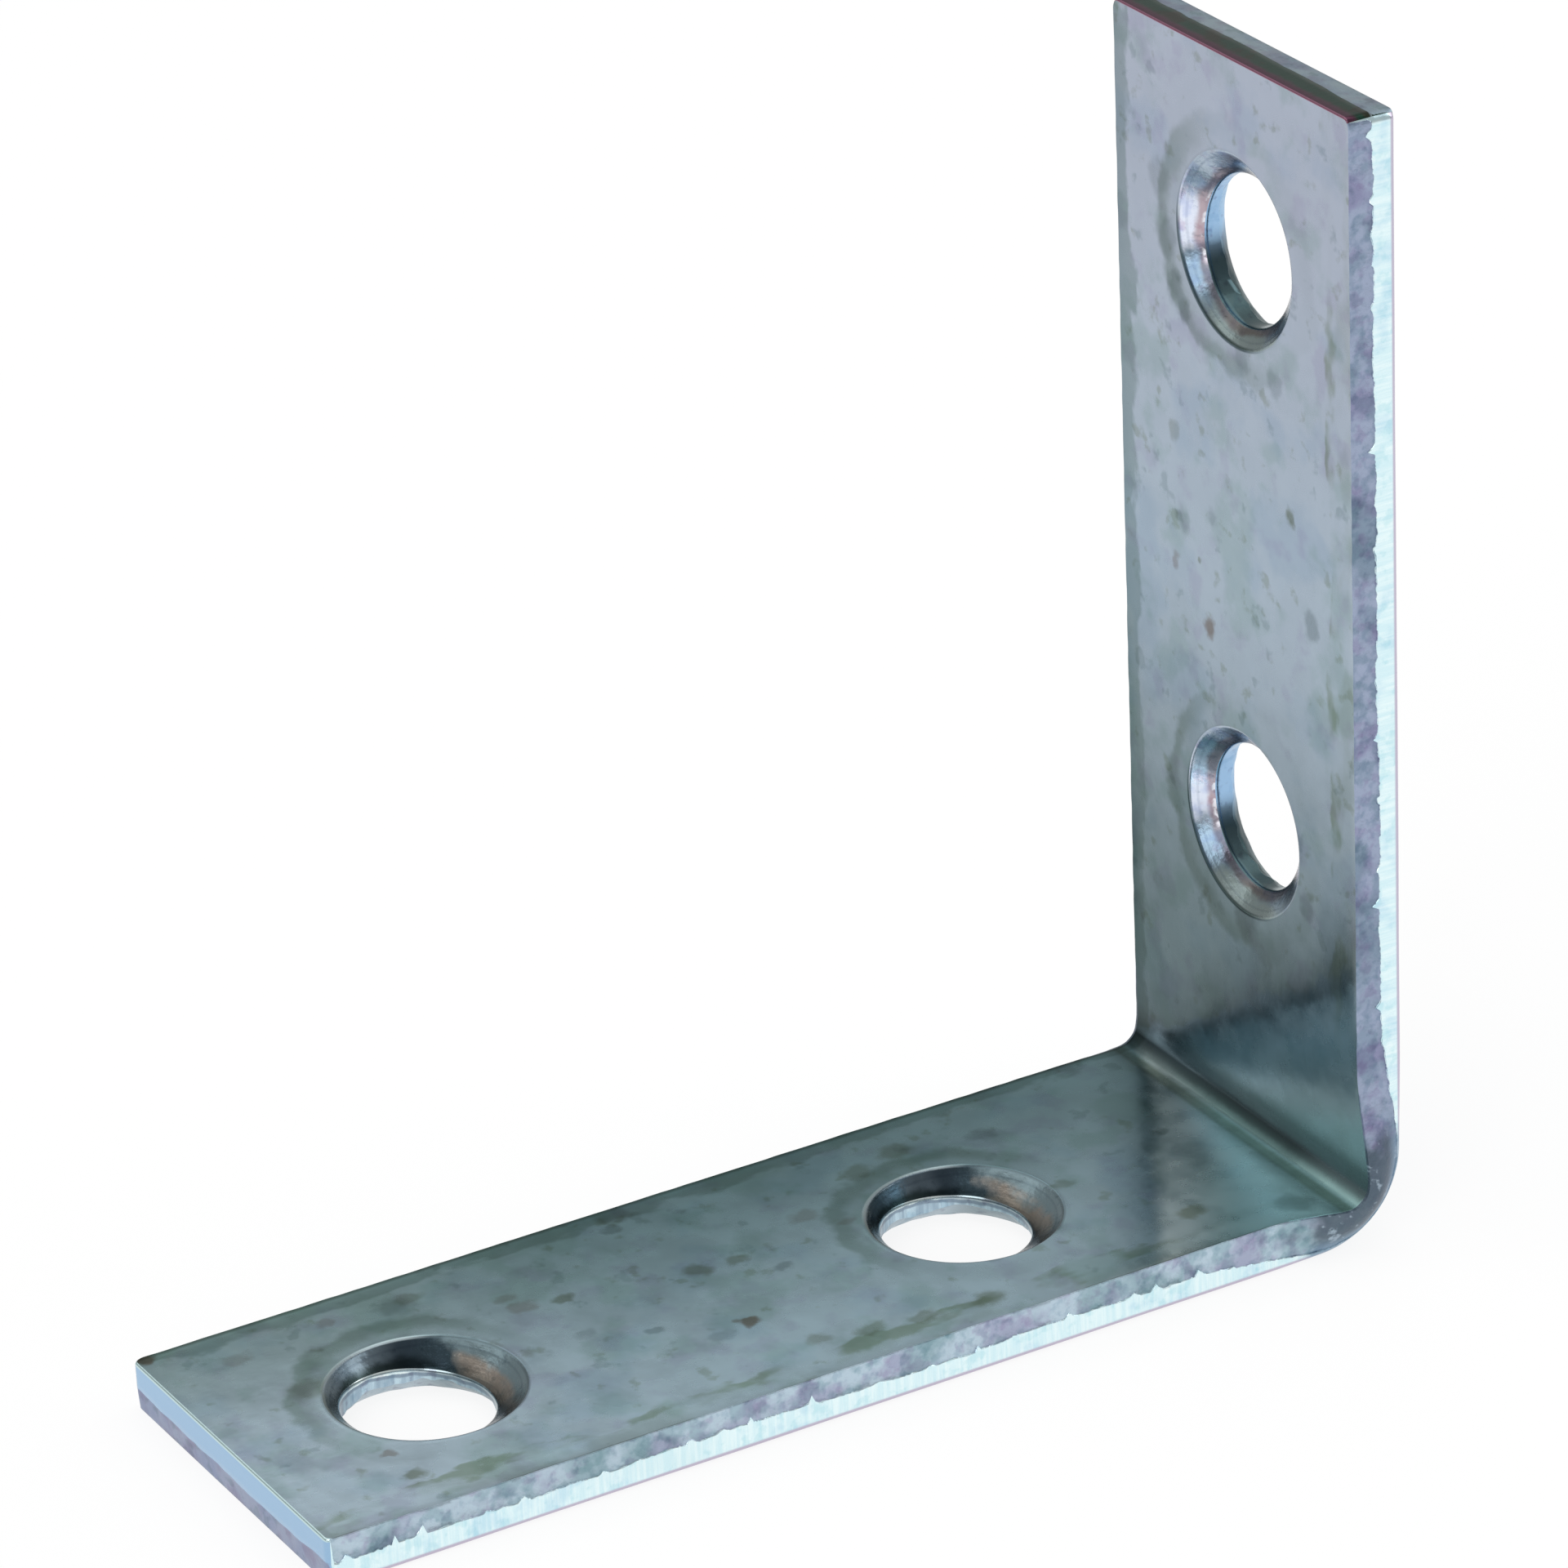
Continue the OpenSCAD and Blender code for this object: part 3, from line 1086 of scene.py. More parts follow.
@dataclass(frozen=True)
class Mottle:
    """Ragged patches that tint what lies below them.

    The grain is the size of the largest patches in mm. A noise about 0.5 draws them: they are clear
    at one of its values and full at the other.
    """

    tint: str
    grain: float
    clear: float
    full: float
    strength: float
    seed: float
    detail: float = 4.0


@dataclass(frozen=True)
class Stain:
    """One dried drop on the strip: its place in flat coordinates and its radius, in mm."""

    s: float
    y: float
    size: float
    strength: float


@dataclass(frozen=True)
class PunchedMetal:
    """Gloss and relief of punched metal. Each pair is for its smooth band and its torn band."""

    rough: tuple[float, float]
    grit: tuple[float, float]
    grit_seed: float
    grit_scale: float
    striae: float
    depth_mm: float


class Finish:
    """What every finish of the bracket shares: its tree, its coordinates and its shader."""

    STAIN_STRETCH = 1.35
    RAGGED_MM = 0.8
    RIM_OUTSIDE = (0.02, -0.04)
    RIM_INSIDE = (-0.17, -0.1)

    def __init__(self, name: str, strip: StripSizes) -> None:
        """Start the material.

        Args:
            name: The real finish.
            strip: Sizes of the strip.
        """
        self.strip = strip
        self.material = bpy.data.materials.new(name)
        self.material.use_nodes = True
        self.tree = self.material.node_tree
        t = self.tree
        t.nodes.clear()
        self.flat = add_node(t, "Attribute", {"attribute_name": "flat_mm"}, None, "Vector")
        self.s, self.y, self.h = add_node(t, "SeparateXYZ", None, {0: self.flat}).node.outputs
        self.past = add_node(t, "Attribute", {"attribute_name": "past_tear_mm"}, None, "Fac")
        around = add_node(t, "Attribute", {"attribute_name": "from_hole_mm"}, None, "Vector")
        self.along, self.across, self.radius = add_node(t, "SeparateXYZ", None, {0: around}).node.outputs
        self.below = add_node(t, "Attribute", {"attribute_name": "below_cone_mm"}, None, "Fac")
        middle = strip.bend_middle
        self.upright = add_node(t, "MapRange", SMOOTH, {0: self.s, 1: middle - 0.5, 2: middle + 0.5})
        self.base = add_node(t, "Math", LESS, {0: 1.0, 1: self.upright})
        self.inner = add_node(t, "MapRange", SMOOTH, {0: self.h, 1: 0.6, 2: 0.9})

    def drawn(self, seed: float, scale: float, detail: float) -> dict[str, object]:
        """Inputs of a noise over the flat strip, with its scale in cells to a millimetre."""
        return {"Vector": self.flat, "W": seed, "Scale": scale, "Detail": detail}

    def from_bend(self) -> Socket:
        """Distance along the strip from the middle of the bend."""
        past = add_node(self.tree, "Math", LESS, {0: self.s, 1: self.strip.bend_middle})
        return add_node(self.tree, "Math", {"operation": "ABSOLUTE"}, {0: past})

    def wash(
        self,
        colour: Socket | str,
        tint: Socket | str,
        mode: dict[str, str],
        *ramps: Ramp,
        share: Socket | float = 1.0,
    ) -> Socket:
        """Lay a tint over a colour where every one of some ramps has risen.

        Args:
            colour: The colour below, also as a hex code.
            tint: The tint, also as a hex code.
            mode: BLEND where it covers the colour, TINTED where it stains it.
            ramps: Where the tint shows.
            share: How much of it shows at each place.

        Returns:
            The tinted colour.
        """
        for ramp in ramps:
            sockets = {0: ramp.of, 1: ramp.clear, 2: ramp.full, 3: ramp.least, 4: ramp.most}
            risen = add_node(self.tree, "MapRange", SMOOTH, sockets)
            share = add_node(self.tree, "Math", TIMES, {0: risen, 1: share})
        below, above = [linear(c) if isinstance(c, str) else c for c in (colour, tint)]
        return add_node(self.tree, "Mix", mode, {0: share, 6: below, 7: above}, 2)

    def lay(self, colour: Socket, *mottles: Mottle) -> Socket:
        """Lay ragged patches over a colour, one kind after the other.

        Args:
            colour: The colour below.
            mottles: The kinds of patches.

        Returns:
            The tinted colour.
        """
        for mottle in mottles:
            drawn = self.drawn(mottle.seed, 1 / mottle.grain, mottle.detail)
            noise = add_node(self.tree, "TexNoise", SEEDED, drawn)
            patch = Ramp(noise, mottle.clear, mottle.full, mottle.strength)
            colour = self.wash(colour, mottle.tint, TINTED, patch)
        return colour

    def stain(self, colour: Socket, tint: str, marks: Sequence[Stain]) -> Socket:
        """Lay dried drops of one tint over a colour, each with a ragged outline.

        Args:
            colour: The colour below.
            tint: Tint of the drops.
            marks: The drops.

        Returns:
            The tinted colour.
        """
        t = self.tree
        shift = self.RAGGED_MM
        noise = add_node(t, "TexNoise", SEEDED, self.drawn(4.0, 1.7, 3.0), 1)
        moved = add_node(t, "VectorMath", TIMES_PLUS, {0: noise, 1: (shift, shift, 0.0), 2: self.flat})
        ragged = add_node(t, "VectorMath", TIMES, {0: moved, 1: (1 / self.STAIN_STRETCH, 1.0, 0.0)})
        total: Socket | float = 0.0
        for mark in marks:
            place = ((mark.s + shift / 2) / self.STAIN_STRETCH, mark.y + shift / 2, 0.0)
            away = add_node(t, "VectorMath", {"operation": "DISTANCE"}, {0: ragged, 1: place}, "Value")
            reach = {0: away, 1: mark.size * 1.25, 2: mark.size * 0.5, 4: mark.strength}
            drop = add_node(t, "MapRange", SMOOTH, reach)
            total = add_node(t, "Math", GREATER, {0: total, 1: drop})
        return add_node(t, "Mix", TINTED, {0: total, 6: colour, 7: linear(tint)}, 2)

    def rim(self, colour: Socket, mouth: float) -> Socket:
        """Paint shade and highlights on the rims of the countersinks.

        Args:
            colour: The colour below.
            mouth: Radius in mm at which a rim meets the face.

        Returns:
            The tinted colour.
        """
        t = self.tree
        left = add_node(t, "Math", TIMES, {0: self.across, 1: 0.9})
        low = add_node(t, "Math", TIMES_PLUS, {0: self.along, 1: -1.1, 2: left})
        edges = (self.RIM_OUTSIDE, self.RIM_INSIDE)
        ring = [Ramp(self.radius, mouth + clear, mouth + full) for clear, full in edges]
        base = add_node(t, "Math", TIMES, {0: self.inner, 1: self.base})
        upright = add_node(t, "Math", TIMES, {0: self.inner, 1: self.upright})
        # painted shade line on the lower side of the upright leg's rims
        colour = self.wash(colour, "7e8c8a", TINTED, *ring, Ramp(low, 1.4, 3.5, 0.95, 0.1), share=upright)
        # painted shade on the side of the base leg's rims towards the bend
        colour = self.wash(colour, "525c60", TINTED, *ring, Ramp(self.along, 1.4, 2.2, 0.45), share=base)
        # painted highlight on the far side of the base leg's rims, away from the bend
        lit = (Ramp(self.along, 2.0, 0.8, 0.36), Ramp(self.across, 0.9, 2.2))
        return self.wash(colour, "e6f6f8", BLEND, *ring, *lit, share=base)

    def close(self, colour: Socket, rough: Socket, height: Socket, depth_mm: float) -> bpy.types.Material:
        """End the material in a metal shader.

        Args:
            colour: Base colour.
            rough: Roughness.
            height: Height for the bump, from 0 to 1.
            depth_mm: What a height of 1 stands for.

        Returns:
            The material.
        """
        relief = {"Height": height, "Strength": 1.0, "Distance": depth_mm * MM}
        bump = add_node(self.tree, "Bump", None, relief)
        sockets = {"Base Color": colour, "Metallic": 1.0, "Roughness": rough, "Normal": bump}
        shader = add_node(self.tree, "BsdfPrincipled", None, sockets)
        add_node(self.tree, "OutputMaterial", None, {"Surface": shader})
        return self.material

    def close_punched(
        self, colour: Socket, torn: Socket, striae: Socket, metal: PunchedMetal
    ) -> bpy.types.Material:
        """End the material of metal that was punched: fine striations, and grit where it tore.

        Args:
            colour: Base colour.
            torn: 1 in the torn band, 0 in the smooth one.
            striae: Height of the striations.
            metal: Gloss and relief of both bands.

        Returns:
            The material.
        """
        t = self.tree
        rough = add_node(t, "MapRange", None, {0: torn, 3: metal.rough[0], 4: metal.rough[1]})
        coarse = add_node(t, "MapRange", None, {0: torn, 3: metal.grit[0], 4: metal.grit[1]})
        grit = add_node(t, "TexNoise", SEEDED, self.drawn(metal.grit_seed, metal.grit_scale, 4.0))
        grit = add_node(t, "Math", TIMES, {0: grit, 1: coarse})
        height = add_node(t, "Math", TIMES_PLUS, {0: striae, 1: metal.striae, 2: grit})
        return self.close(colour, rough, height, metal.depth_mm)


@dataclass(frozen=True)
class RolledZincFace:
    """Rolled steel sheet with bright zinc plating and a blue passivation.

    Rolling and barrel plating leave a soft gloss with fine scratches, in which one leg shows in the
    other. The passivation gives faint clouds of green, blue and lilac, with small brown and olive
    drops and darker rings round the screw holes. Painted reflection and painted shade darken the
    inner face towards the base leg's far edge, along the edges, at the hole rims and in the bend,
    with a ragged painted reflection line across each leg.
    """

    strip: StripSizes
    holes: HoleSizes

    MOTTLES = (
        Mottle("d2e4d6", 2.2, 0.5, 0.62, 0.45, 3.0),
        Mottle("e9dcec", 1.4, 0.53, 0.66, 0.42, 11.0),
        Mottle("dbe8f2", 2.8, 0.5, 0.64, 0.42, 23.0),
        Mottle("c3c7ac", 0.8, 0.6, 0.7, 0.5, 37.0, 5.0),
        Mottle("b9c6c2", 1.1, 0.62, 0.69, 0.45, 47.0, 5.0),
    )
    BROWN = (
        Stain(56.56, 1.62, 0.36, 0.75),
        Stain(0.3, 6.5, 0.35, 0.9),
        Stain(17.6, -2.37, 0.3, 0.85),
        Stain(58.31, 3.61, 0.22, 0.42),
        Stain(12.04, 2.61, 0.43, 0.42),
        Stain(9.9, 0.9, 0.26, 0.32),
        Stain(11.86, 3.38, 0.3, 0.36),
        Stain(2.8, 4.83, 0.43, 0.32),
        Stain(6.29, 5.29, 0.3, 0.36),
        Stain(4.05, -3.12, 0.22, 0.52),
        Stain(22.6, 2.6, 0.43, 0.36),
        Stain(23.6, 1.5, 0.26, 0.32),
    )
    OLIVE = (
        Stain(62.26, -3.2, 0.28, 0.71),
        Stain(58.77, 2.14, 0.14, 0.6),
        Stain(62.98, 3.6, 0.32, 0.36),
        Stain(17.94, 1.47, 0.4, 0.66),
        Stain(19.3, 1.3, 0.34, 0.6),
        Stain(13.39, 2.32, 0.29, 0.66),
        Stain(27.36, 4.69, 0.52, 0.54),
        Stain(25.6, 4.2, 0.48, 0.54),
        Stain(4.16, -4.7, 0.34, 0.71),
        Stain(9.23, 5.19, 0.4, 0.48),
        Stain(24.72, -5.48, 0.48, 0.6),
        Stain(22.4, -5.3, 0.4, 0.54),
        Stain(20.6, -5.0, 0.4, 0.54),
        Stain(18.81, -4.6, 0.4, 0.48),
        Stain(30.75, -0.39, 0.32, 0.48),
        Stain(3.92, 1.87, 0.65, 0.48),
        Stain(33.2, -4.4, 0.45, 0.6),
    )
    DARK = (
        Stain(66.85, -0.49, 0.45, 0.35),
        Stain(66.65, -2.36, 0.4, 0.3),
        Stain(59.83, 3.07, 0.4, 0.3),
        Stain(60.6, 1.4, 0.3, 0.3),
        Stain(58.8, -4.29, 0.45, 0.45),
        Stain(68.12, 3.28, 0.5, 0.45),
        Stain(67.42, 2.83, 0.42, 0.45),
        Stain(69.68, 3.71, 0.6, 0.35),
        Stain(71.6, 4.2, 0.6, 0.3),
        Stain(48.65, -3.86, 0.45, 0.4),
        Stain(46.83, -0.2, 0.7, 0.5),
        Stain(17.39, 6.16, 0.5, 0.5),
        Stain(16.9, 5.4, 0.3, 0.5),
        Stain(8.54, 5.02, 0.5, 0.4),
        Stain(30.32, 4.03, 0.45, 0.4),
        Stain(36.33, -5.61, 0.6, 0.45),
        Stain(14.8, -1.2, 0.25, 0.45),
        Stain(20.3, 0.1, 0.25, 0.45),
        Stain(16.4, -2.7, 0.35, 0.3),
        Stain(35.4, 0.8, 0.25, 0.5),
        Stain(12.8, -0.1, 0.3, 0.3),
    )

    def make(self) -> bpy.types.Material:
        """Build the material."""
        f = Finish("bright zinc plated rolled sheet", self.strip)
        t = f.tree
        # The inner face takes the painted reflection tones, and the outer face keeps one plain colour
        ground = {0: f.inner, 6: linear("a9b8c4"), 7: self._ground(f)}
        plain = f.lay(add_node(t, "Mix", BLEND, ground, 2), *self.MOTTLES)
        colour = self._bend_painted_shade(f, plain)
        colour = self._borders(f, colour)
        colour = self._halos(f, colour)
        for tint, drops in (("ac8c74", self.BROWN), ("a0a282", self.OLIVE), ("82918e", self.DARK)):
            colour = f.stain(colour, tint, drops)
        colour = add_node(t, "Mix", BLEND, {0: f.inner, 6: plain, 7: colour}, 2)
        wear = add_node(t, "TexNoise", SEEDED, f.drawn(41.0, 0.6, 5.0))
        rough = add_node(t, "MapRange", SMOOTH, {0: wear, 1: 0.3, 2: 0.7, 3: 0.2, 4: 0.32})
        rolled = add_node(t, "VectorMath", TIMES, {0: f.flat, 1: (2.8, 6.2, 1.0)})
        fine = add_node(t, "TexNoise", SEEDED, {"Vector": rolled, "W": 51.0, "Scale": 1.0, "Detail": 3.0})
        dents = add_node(t, "TexNoise", SEEDED, f.drawn(61.0, 0.6, 2.0))
        height = add_node(t, "Math", TIMES_PLUS, {0: fine, 1: 0.13, 2: dents})
        return f.close(colour, rough, height, 0.022)

    def _ground(self, f: Finish) -> Socket:
        """Painted reflection on both legs: the base leg is darker towards its far edge and paler at its free
        end.
        """
        base = f.wash("afcad6", "708f95", BLEND, Ramp(f.y, -6.4, 6.6))
        tip = f.wash("b9cedb", "90a8ab", BLEND, Ramp(f.y, -1.5, 6.6))
        base = f.wash(base, tip, BLEND, Ramp(f.s, 18.0, 3.0, 0.9))
        upright = f.wash("a4b3c1", "a8b1c1", BLEND, Ramp(f.s, 58.0, 74.0))
        return add_node(f.tree, "Mix", BLEND, {0: f.upright, 6: base, 7: upright}, 2)

    def _bend_painted_shade(self, f: Finish, colour: Socket) -> Socket:
        """Paint shade towards the bend and in its crease, with a ragged painted reflection line across each
        leg.
        """
        t = f.tree
        noise = add_node(t, "TexNoise", SEEDED, f.drawn(5.0, 0.9, 5.0))
        legs = {0: f.upright, 6: self._base_painted_reflection(f, colour, noise), 7: self._line(f, colour, noise)}
        colour = add_node(t, "Mix", BLEND, legs, 2)
        from_bend = f.from_bend()
        # painted shade in the crease of the bend
        colour = f.wash(colour, "acb4b3", TINTED, Ramp(from_bend, 2.2, 0.7, 0.85))
        # painted shade over the land's reflection, weaker at the near edge
        land = (Ramp(from_bend, 0.8, 0.3, 0.95), Ramp(f.y, -5.5, -3.0, 1.0, 0.3))
        colour = f.wash(colour, "868c8c", TINTED, *land)
        # painted shade line on the base leg's side of the crease
        return f.wash(colour, "c2c6b8", TINTED, Ramp(f.s, 37.3, 37.6, 0.8), Ramp(f.s, 38.15, 37.9))

    def _line(self, f: Finish, colour: Socket, noise: Socket) -> Socket:
        """Upright leg near the bend: a ragged painted reflection line, with painted shade darkest along it.
        """
        t = f.tree
        slant = add_node(t, "Math", TIMES_PLUS, {0: f.y, 1: 0.6, 2: f.s})
        ragged = add_node(t, "Math", TIMES_PLUS, {0: noise, 1: 1.7, 2: -44.15})
        line = add_node(t, "Math", PLUS, {0: slant, 1: ragged})
        reach = add_node(t, "Math", TIMES_PLUS, {0: noise, 1: 4.0, 2: f.s})
        # painted shade above the line, growing towards the bend
        upper = f.wash(colour, "92a19b", TINTED, Ramp(reach, 62.0, 45.5, 0.97))
        upper = f.wash(upper, "bcc2c2", TINTED, Ramp(line, 3.4, 0.0, 0.8))
        # a paler painted reflection below the line, with painted shade next to it and further down
        lower = add_node(t, "Mix", BLEND, {0: 0.85, 6: colour, 7: linear("a9c2cf")}, 2)
        lower = f.wash(lower, "8fa2a9", BLEND, Ramp(line, -1.6, -4.2))
        lower = f.wash(lower, "8e9ca1", TINTED, Ramp(line, -2.2, -0.1, 0.9), Ramp(f.y, 6.0, 0.0, 1.0, 0.7))
        lower = f.wash(lower, "aeb3b5", TINTED, Ramp(line, -0.9, -0.1, 0.9))
        return f.wash(lower, upper, BLEND, Ramp(line, -0.1, 0.32))

    def _base_painted_reflection(self, f: Finish, colour: Socket, noise: Socket) -> Socket:
        """Base leg near the bend: painted reflection, paler inside a slanting line, with painted shade beyond
        it.
        """
        t = f.tree
        lean = add_node(t, "Math", TIMES_PLUS, {0: f.y, 1: -0.62, 2: f.s})
        wander = add_node(t, "Math", TIMES_PLUS, {0: noise, 1: 0.7, 2: -34.95})
        crossing = add_node(t, "Math", PLUS, {0: lean, 1: wander})
        pale = f.wash("f0ffff", "cef6f4", BLEND, Ramp(crossing, 0.8, 3.6))
        colour = f.wash(colour, pale, BLEND, Ramp(crossing, -0.3, 0.6, 0.94))
        stripe = (Ramp(crossing, -2.9, -0.2, 0.65), Ramp(crossing, 0.7, -0.1))
        return f.wash(colour, "bcc6c8", TINTED, *stripe)

    def _borders(self, f: Finish, colour: Socket) -> Socket:
        """Darker borders: a blotched line inside the near edge, painted shade along the far edge and the
        arrises.
        """
        t = f.tree
        half = self.strip.half
        streaks = add_node(t, "VectorMath", TIMES, {0: f.flat, 1: (0.55, 1.0, 1.0)})
        noise = add_node(t, "TexNoise", SEEDED, {"Vector": streaks, "W": 9.0, "Scale": 0.9, "Detail": 4.0})
        shift = add_node(t, "Math", TIMES_PLUS, {0: noise, 1: 2.2, 2: -1.1})
        moved = add_node(t, "Math", PLUS, {0: f.y, 1: shift})
        blotch = add_node(t, "TexNoise", SEEDED, {"Vector": streaks, "W": 19.0, "Scale": 0.7, "Detail": 3.0})
        patchy = Ramp(blotch, 0.44, 0.58, 1.0, 0.05)
        line = (Ramp(moved, 1.55 - half, 1.35 - half), Ramp(moved, 0.85 - half, 1.1 - half, 1.0, 0.35))
        open_leg = Ramp(f.from_bend(), 5.5, 9.0, 1.0, 0.1)
        colour = f.wash(colour, "ccd2be", TINTED, *line, patchy, open_leg)
        # painted shade in a ragged band along the far edge
        colour = f.wash(colour, "cbd5cf", TINTED, Ramp(moved, half - 0.95, half - 0.65, 0.9))
        near_line, far_line = Ramp(f.y, 0.2 - half, 0.1 - half, 0.7), Ramp(f.y, half - 0.34, half - 0.16, 0.8)
        # painted shade at both arrises of the base leg, where the face droops
        colour = f.wash(colour, "8f948a", TINTED, near_line, patchy, share=f.base)
        return f.wash(colour, "8f948a", TINTED, far_line, share=f.base)

    def _halos(self, f: Finish, colour: Socket) -> Socket:
        """Darker rings outside the screw holes, strongest on one side, and the painted shade and highlight of
        the rims.
        """
        t = f.tree
        mouth = self.holes.mouth_r
        noise = add_node(t, "TexNoise", SEEDED, f.drawn(71.0, 0.75, 4.0))
        shift = add_node(t, "Math", TIMES_PLUS, {0: noise, 1: 1.6, 2: -0.8})
        ring = add_node(t, "Math", PLUS, {0: f.radius, 1: shift})
        left = add_node(t, "Math", TIMES, {0: f.across, 1: 0.9})
        down = add_node(t, "Math", TIMES_PLUS, {0: f.along, 1: -0.45, 2: left})
        halo = (Ramp(ring, mouth + 1.35, mouth + 0.95), Ramp(ring, mouth + 0.15, mouth + 0.75, 1.0, 0.3))
        colour = f.wash(colour, "b9c4b8", TINTED, *halo, Ramp(down, -1.5, 2.8, 0.75, 0.1))
        return f.rim(colour, mouth)


@dataclass(frozen=True)
class ShearedZincEdge:
    """Long edge of the strip, sheared and then zinc plated.

    The burnished band is bright, with fine striations across the sheet. The torn band is duller,
    rough and mauve, and the roll-over shows as a thin pinkish line.
    """

    strip: StripSizes

    METAL = PunchedMetal((0.24, 0.44), (0.04, 0.9), 63.0, 7.5, 0.08, 0.03)
    TORN = (
        Mottle("c3d6d6", 0.7, 0.48, 0.6, 0.55, 29.0),
        Mottle("e6d3e4", 0.6, 0.52, 0.64, 0.55, 33.0),
        Mottle("b9aec2", 0.5, 0.56, 0.69, 0.2, 43.0),
        Mottle("b4cbc8", 2.2, 0.52, 0.64, 0.6, 91.0),
        Mottle("d2bcd6", 1.8, 0.52, 0.64, 0.6, 97.0),
        Mottle("b8cad4", 0.3, 0.5, 0.64, 0.35, 57.0),
    )
    BURNISHED = (
        Mottle("cfe2f2", 1.1, 0.52, 0.66, 0.4, 19.0),
        Mottle("d8eef2", 0.5, 0.52, 0.64, 0.5, 23.0),
    )

    def make(self) -> bpy.types.Material:
        """Build the material."""
        f = Finish("bright zinc plated sheared edge", self.strip)
        t = f.tree
        roll = self.strip.roll_over
        noise = add_node(t, "TexNoise", SEEDED, f.drawn(7.0, 4.5, 4.0))
        ragged = add_node(t, "Math", TIMES_PLUS, {0: noise, 1: 0.12, 2: -0.06})
        past = add_node(t, "Math", PLUS, {0: f.past, 1: ragged})
        torn = add_node(t, "MapRange", SMOOTH, {0: past, 1: -0.012, 2: 0.014})
        lines = add_node(t, "VectorMath", TIMES, {0: f.flat, 1: (7.0, 7.0, 0.5)})
        striae = add_node(t, "TexNoise", SEEDED, {"Vector": lines, "W": 13.0, "Scale": 1.0, "Detail": 4.0})
        bright = f.lay(f.wash("d9f4fa", "ebfdff", BLEND, Ramp(striae, 0.35, 0.68)), *self.BURNISHED)
        bright = f.wash(bright, "c2b9cc", BLEND, Ramp(f.h, roll * 1.15, roll * 0.7))
        dull = add_node(t, "Mix", BLEND, {0: f.upright, 6: linear("c0d3e0"), 7: linear("a4b0c8")}, 2)
        colour = add_node(t, "Mix", BLEND, {0: torn, 6: bright, 7: f.lay(dull, *self.TORN)}, 2)
        return f.close_punched(self._fold_painted_shade(f, colour), torn, striae, self.METAL)

    def _fold_painted_shade(self, f: Finish, colour: Socket) -> Socket:
        """Paint shade on the edge at the bend, darkest beside the inner face, with bright nicks in it."""
        t = f.tree
        noise = add_node(t, "TexNoise", SEEDED, f.drawn(3.0, 1.3, 4.0))
        away = add_node(t, "Math", TIMES_PLUS, {0: noise, 1: 2.4, 2: f.from_bend()})
        nick = add_node(t, "TexNoise", SEEDED, f.drawn(53.0, 2.6, 3.0))
        dark = f.wash("55636f", "7f9ab0", BLEND, Ramp(f.h, 0.9, 0.25))
        dark = f.wash(dark, "b4c6d4", BLEND, Ramp(nick, 0.58, 0.7, 0.7))
        return f.wash(colour, dark, BLEND, Ramp(away, 4.3, 3.1, 0.9))


@dataclass(frozen=True)
class CroppedZincEnd:
    """End of the strip, cropped from the inner face and then zinc plated.

    The crop left a smooth band beside the inner face and a duller torn band beside the outer one.
    """

    strip: StripSizes

    METAL = PunchedMetal((0.22, 0.42), (0.05, 0.7), 63.0, 6.5, 0.12, 0.03)
    STREAKS = (
        Mottle("dfe6f4", 1.4, 0.4, 0.65, 0.7, 9.0),
        Mottle("e8d6e2", 0.9, 0.45, 0.62, 0.7, 15.0),
        Mottle("c9d8d4", 0.4, 0.52, 0.64, 0.5, 21.0),
    )

    def make(self) -> bpy.types.Material:
        """Build the material."""
        f = Finish("bright zinc plated cropped end", self.strip)
        t = f.tree
        sheet = self.strip.sheet
        noise = add_node(t, "TexNoise", SEEDED, f.drawn(7.0, 2.0, 3.0))
        ragged = add_node(t, "Math", TIMES_PLUS, {0: noise, 1: 0.1, 2: -0.05})
        past = add_node(t, "Math", PLUS, {0: f.past, 1: ragged})
        torn = add_node(t, "MapRange", SMOOTH, {0: past, 1: -0.04, 2: 0.04})
        dark = add_node(t, "TexNoise", SEEDED, f.drawn(27.0, 1.2, 4.0))
        level = add_node(t, "Math", TIMES_PLUS, {0: noise, 1: 0.3, 2: f.h})
        green = f.wash("2a4a3e", "3a3e34", BLEND, Ramp(dark, 0.48, 0.62))
        top_band = f.wash(green, "5c3a4c", BLEND, Ramp(level, sheet - 0.3, sheet - 0.05))
        top_band = f.wash(top_band, "a8788c", BLEND, Ramp(f.h, sheet - 0.06, sheet - 0.01, 0.8))
        base_band = f.wash("9bbddb", "c6dfe0", BLEND, Ramp(f.h, sheet - 0.14, sheet - 0.06))
        band = add_node(t, "Mix", BLEND, {0: f.upright, 6: base_band, 7: top_band}, 2)
        broken = add_node(t, "Mix", BLEND, {0: f.upright, 6: linear("9da6bd"), 7: linear("a9bac2")}, 2)
        colour = add_node(t, "Mix", BLEND, {0: torn, 6: band, 7: f.lay(broken, *self.STREAKS)}, 2)
        lines = add_node(t, "VectorMath", TIMES, {0: f.flat, 1: (5.0, 5.0, 0.4)})
        striae = add_node(t, "TexNoise", SEEDED, {"Vector": lines, "W": 67.0, "Scale": 1.0, "Detail": 3.0})
        return f.close_punched(colour, torn, striae, self.METAL)


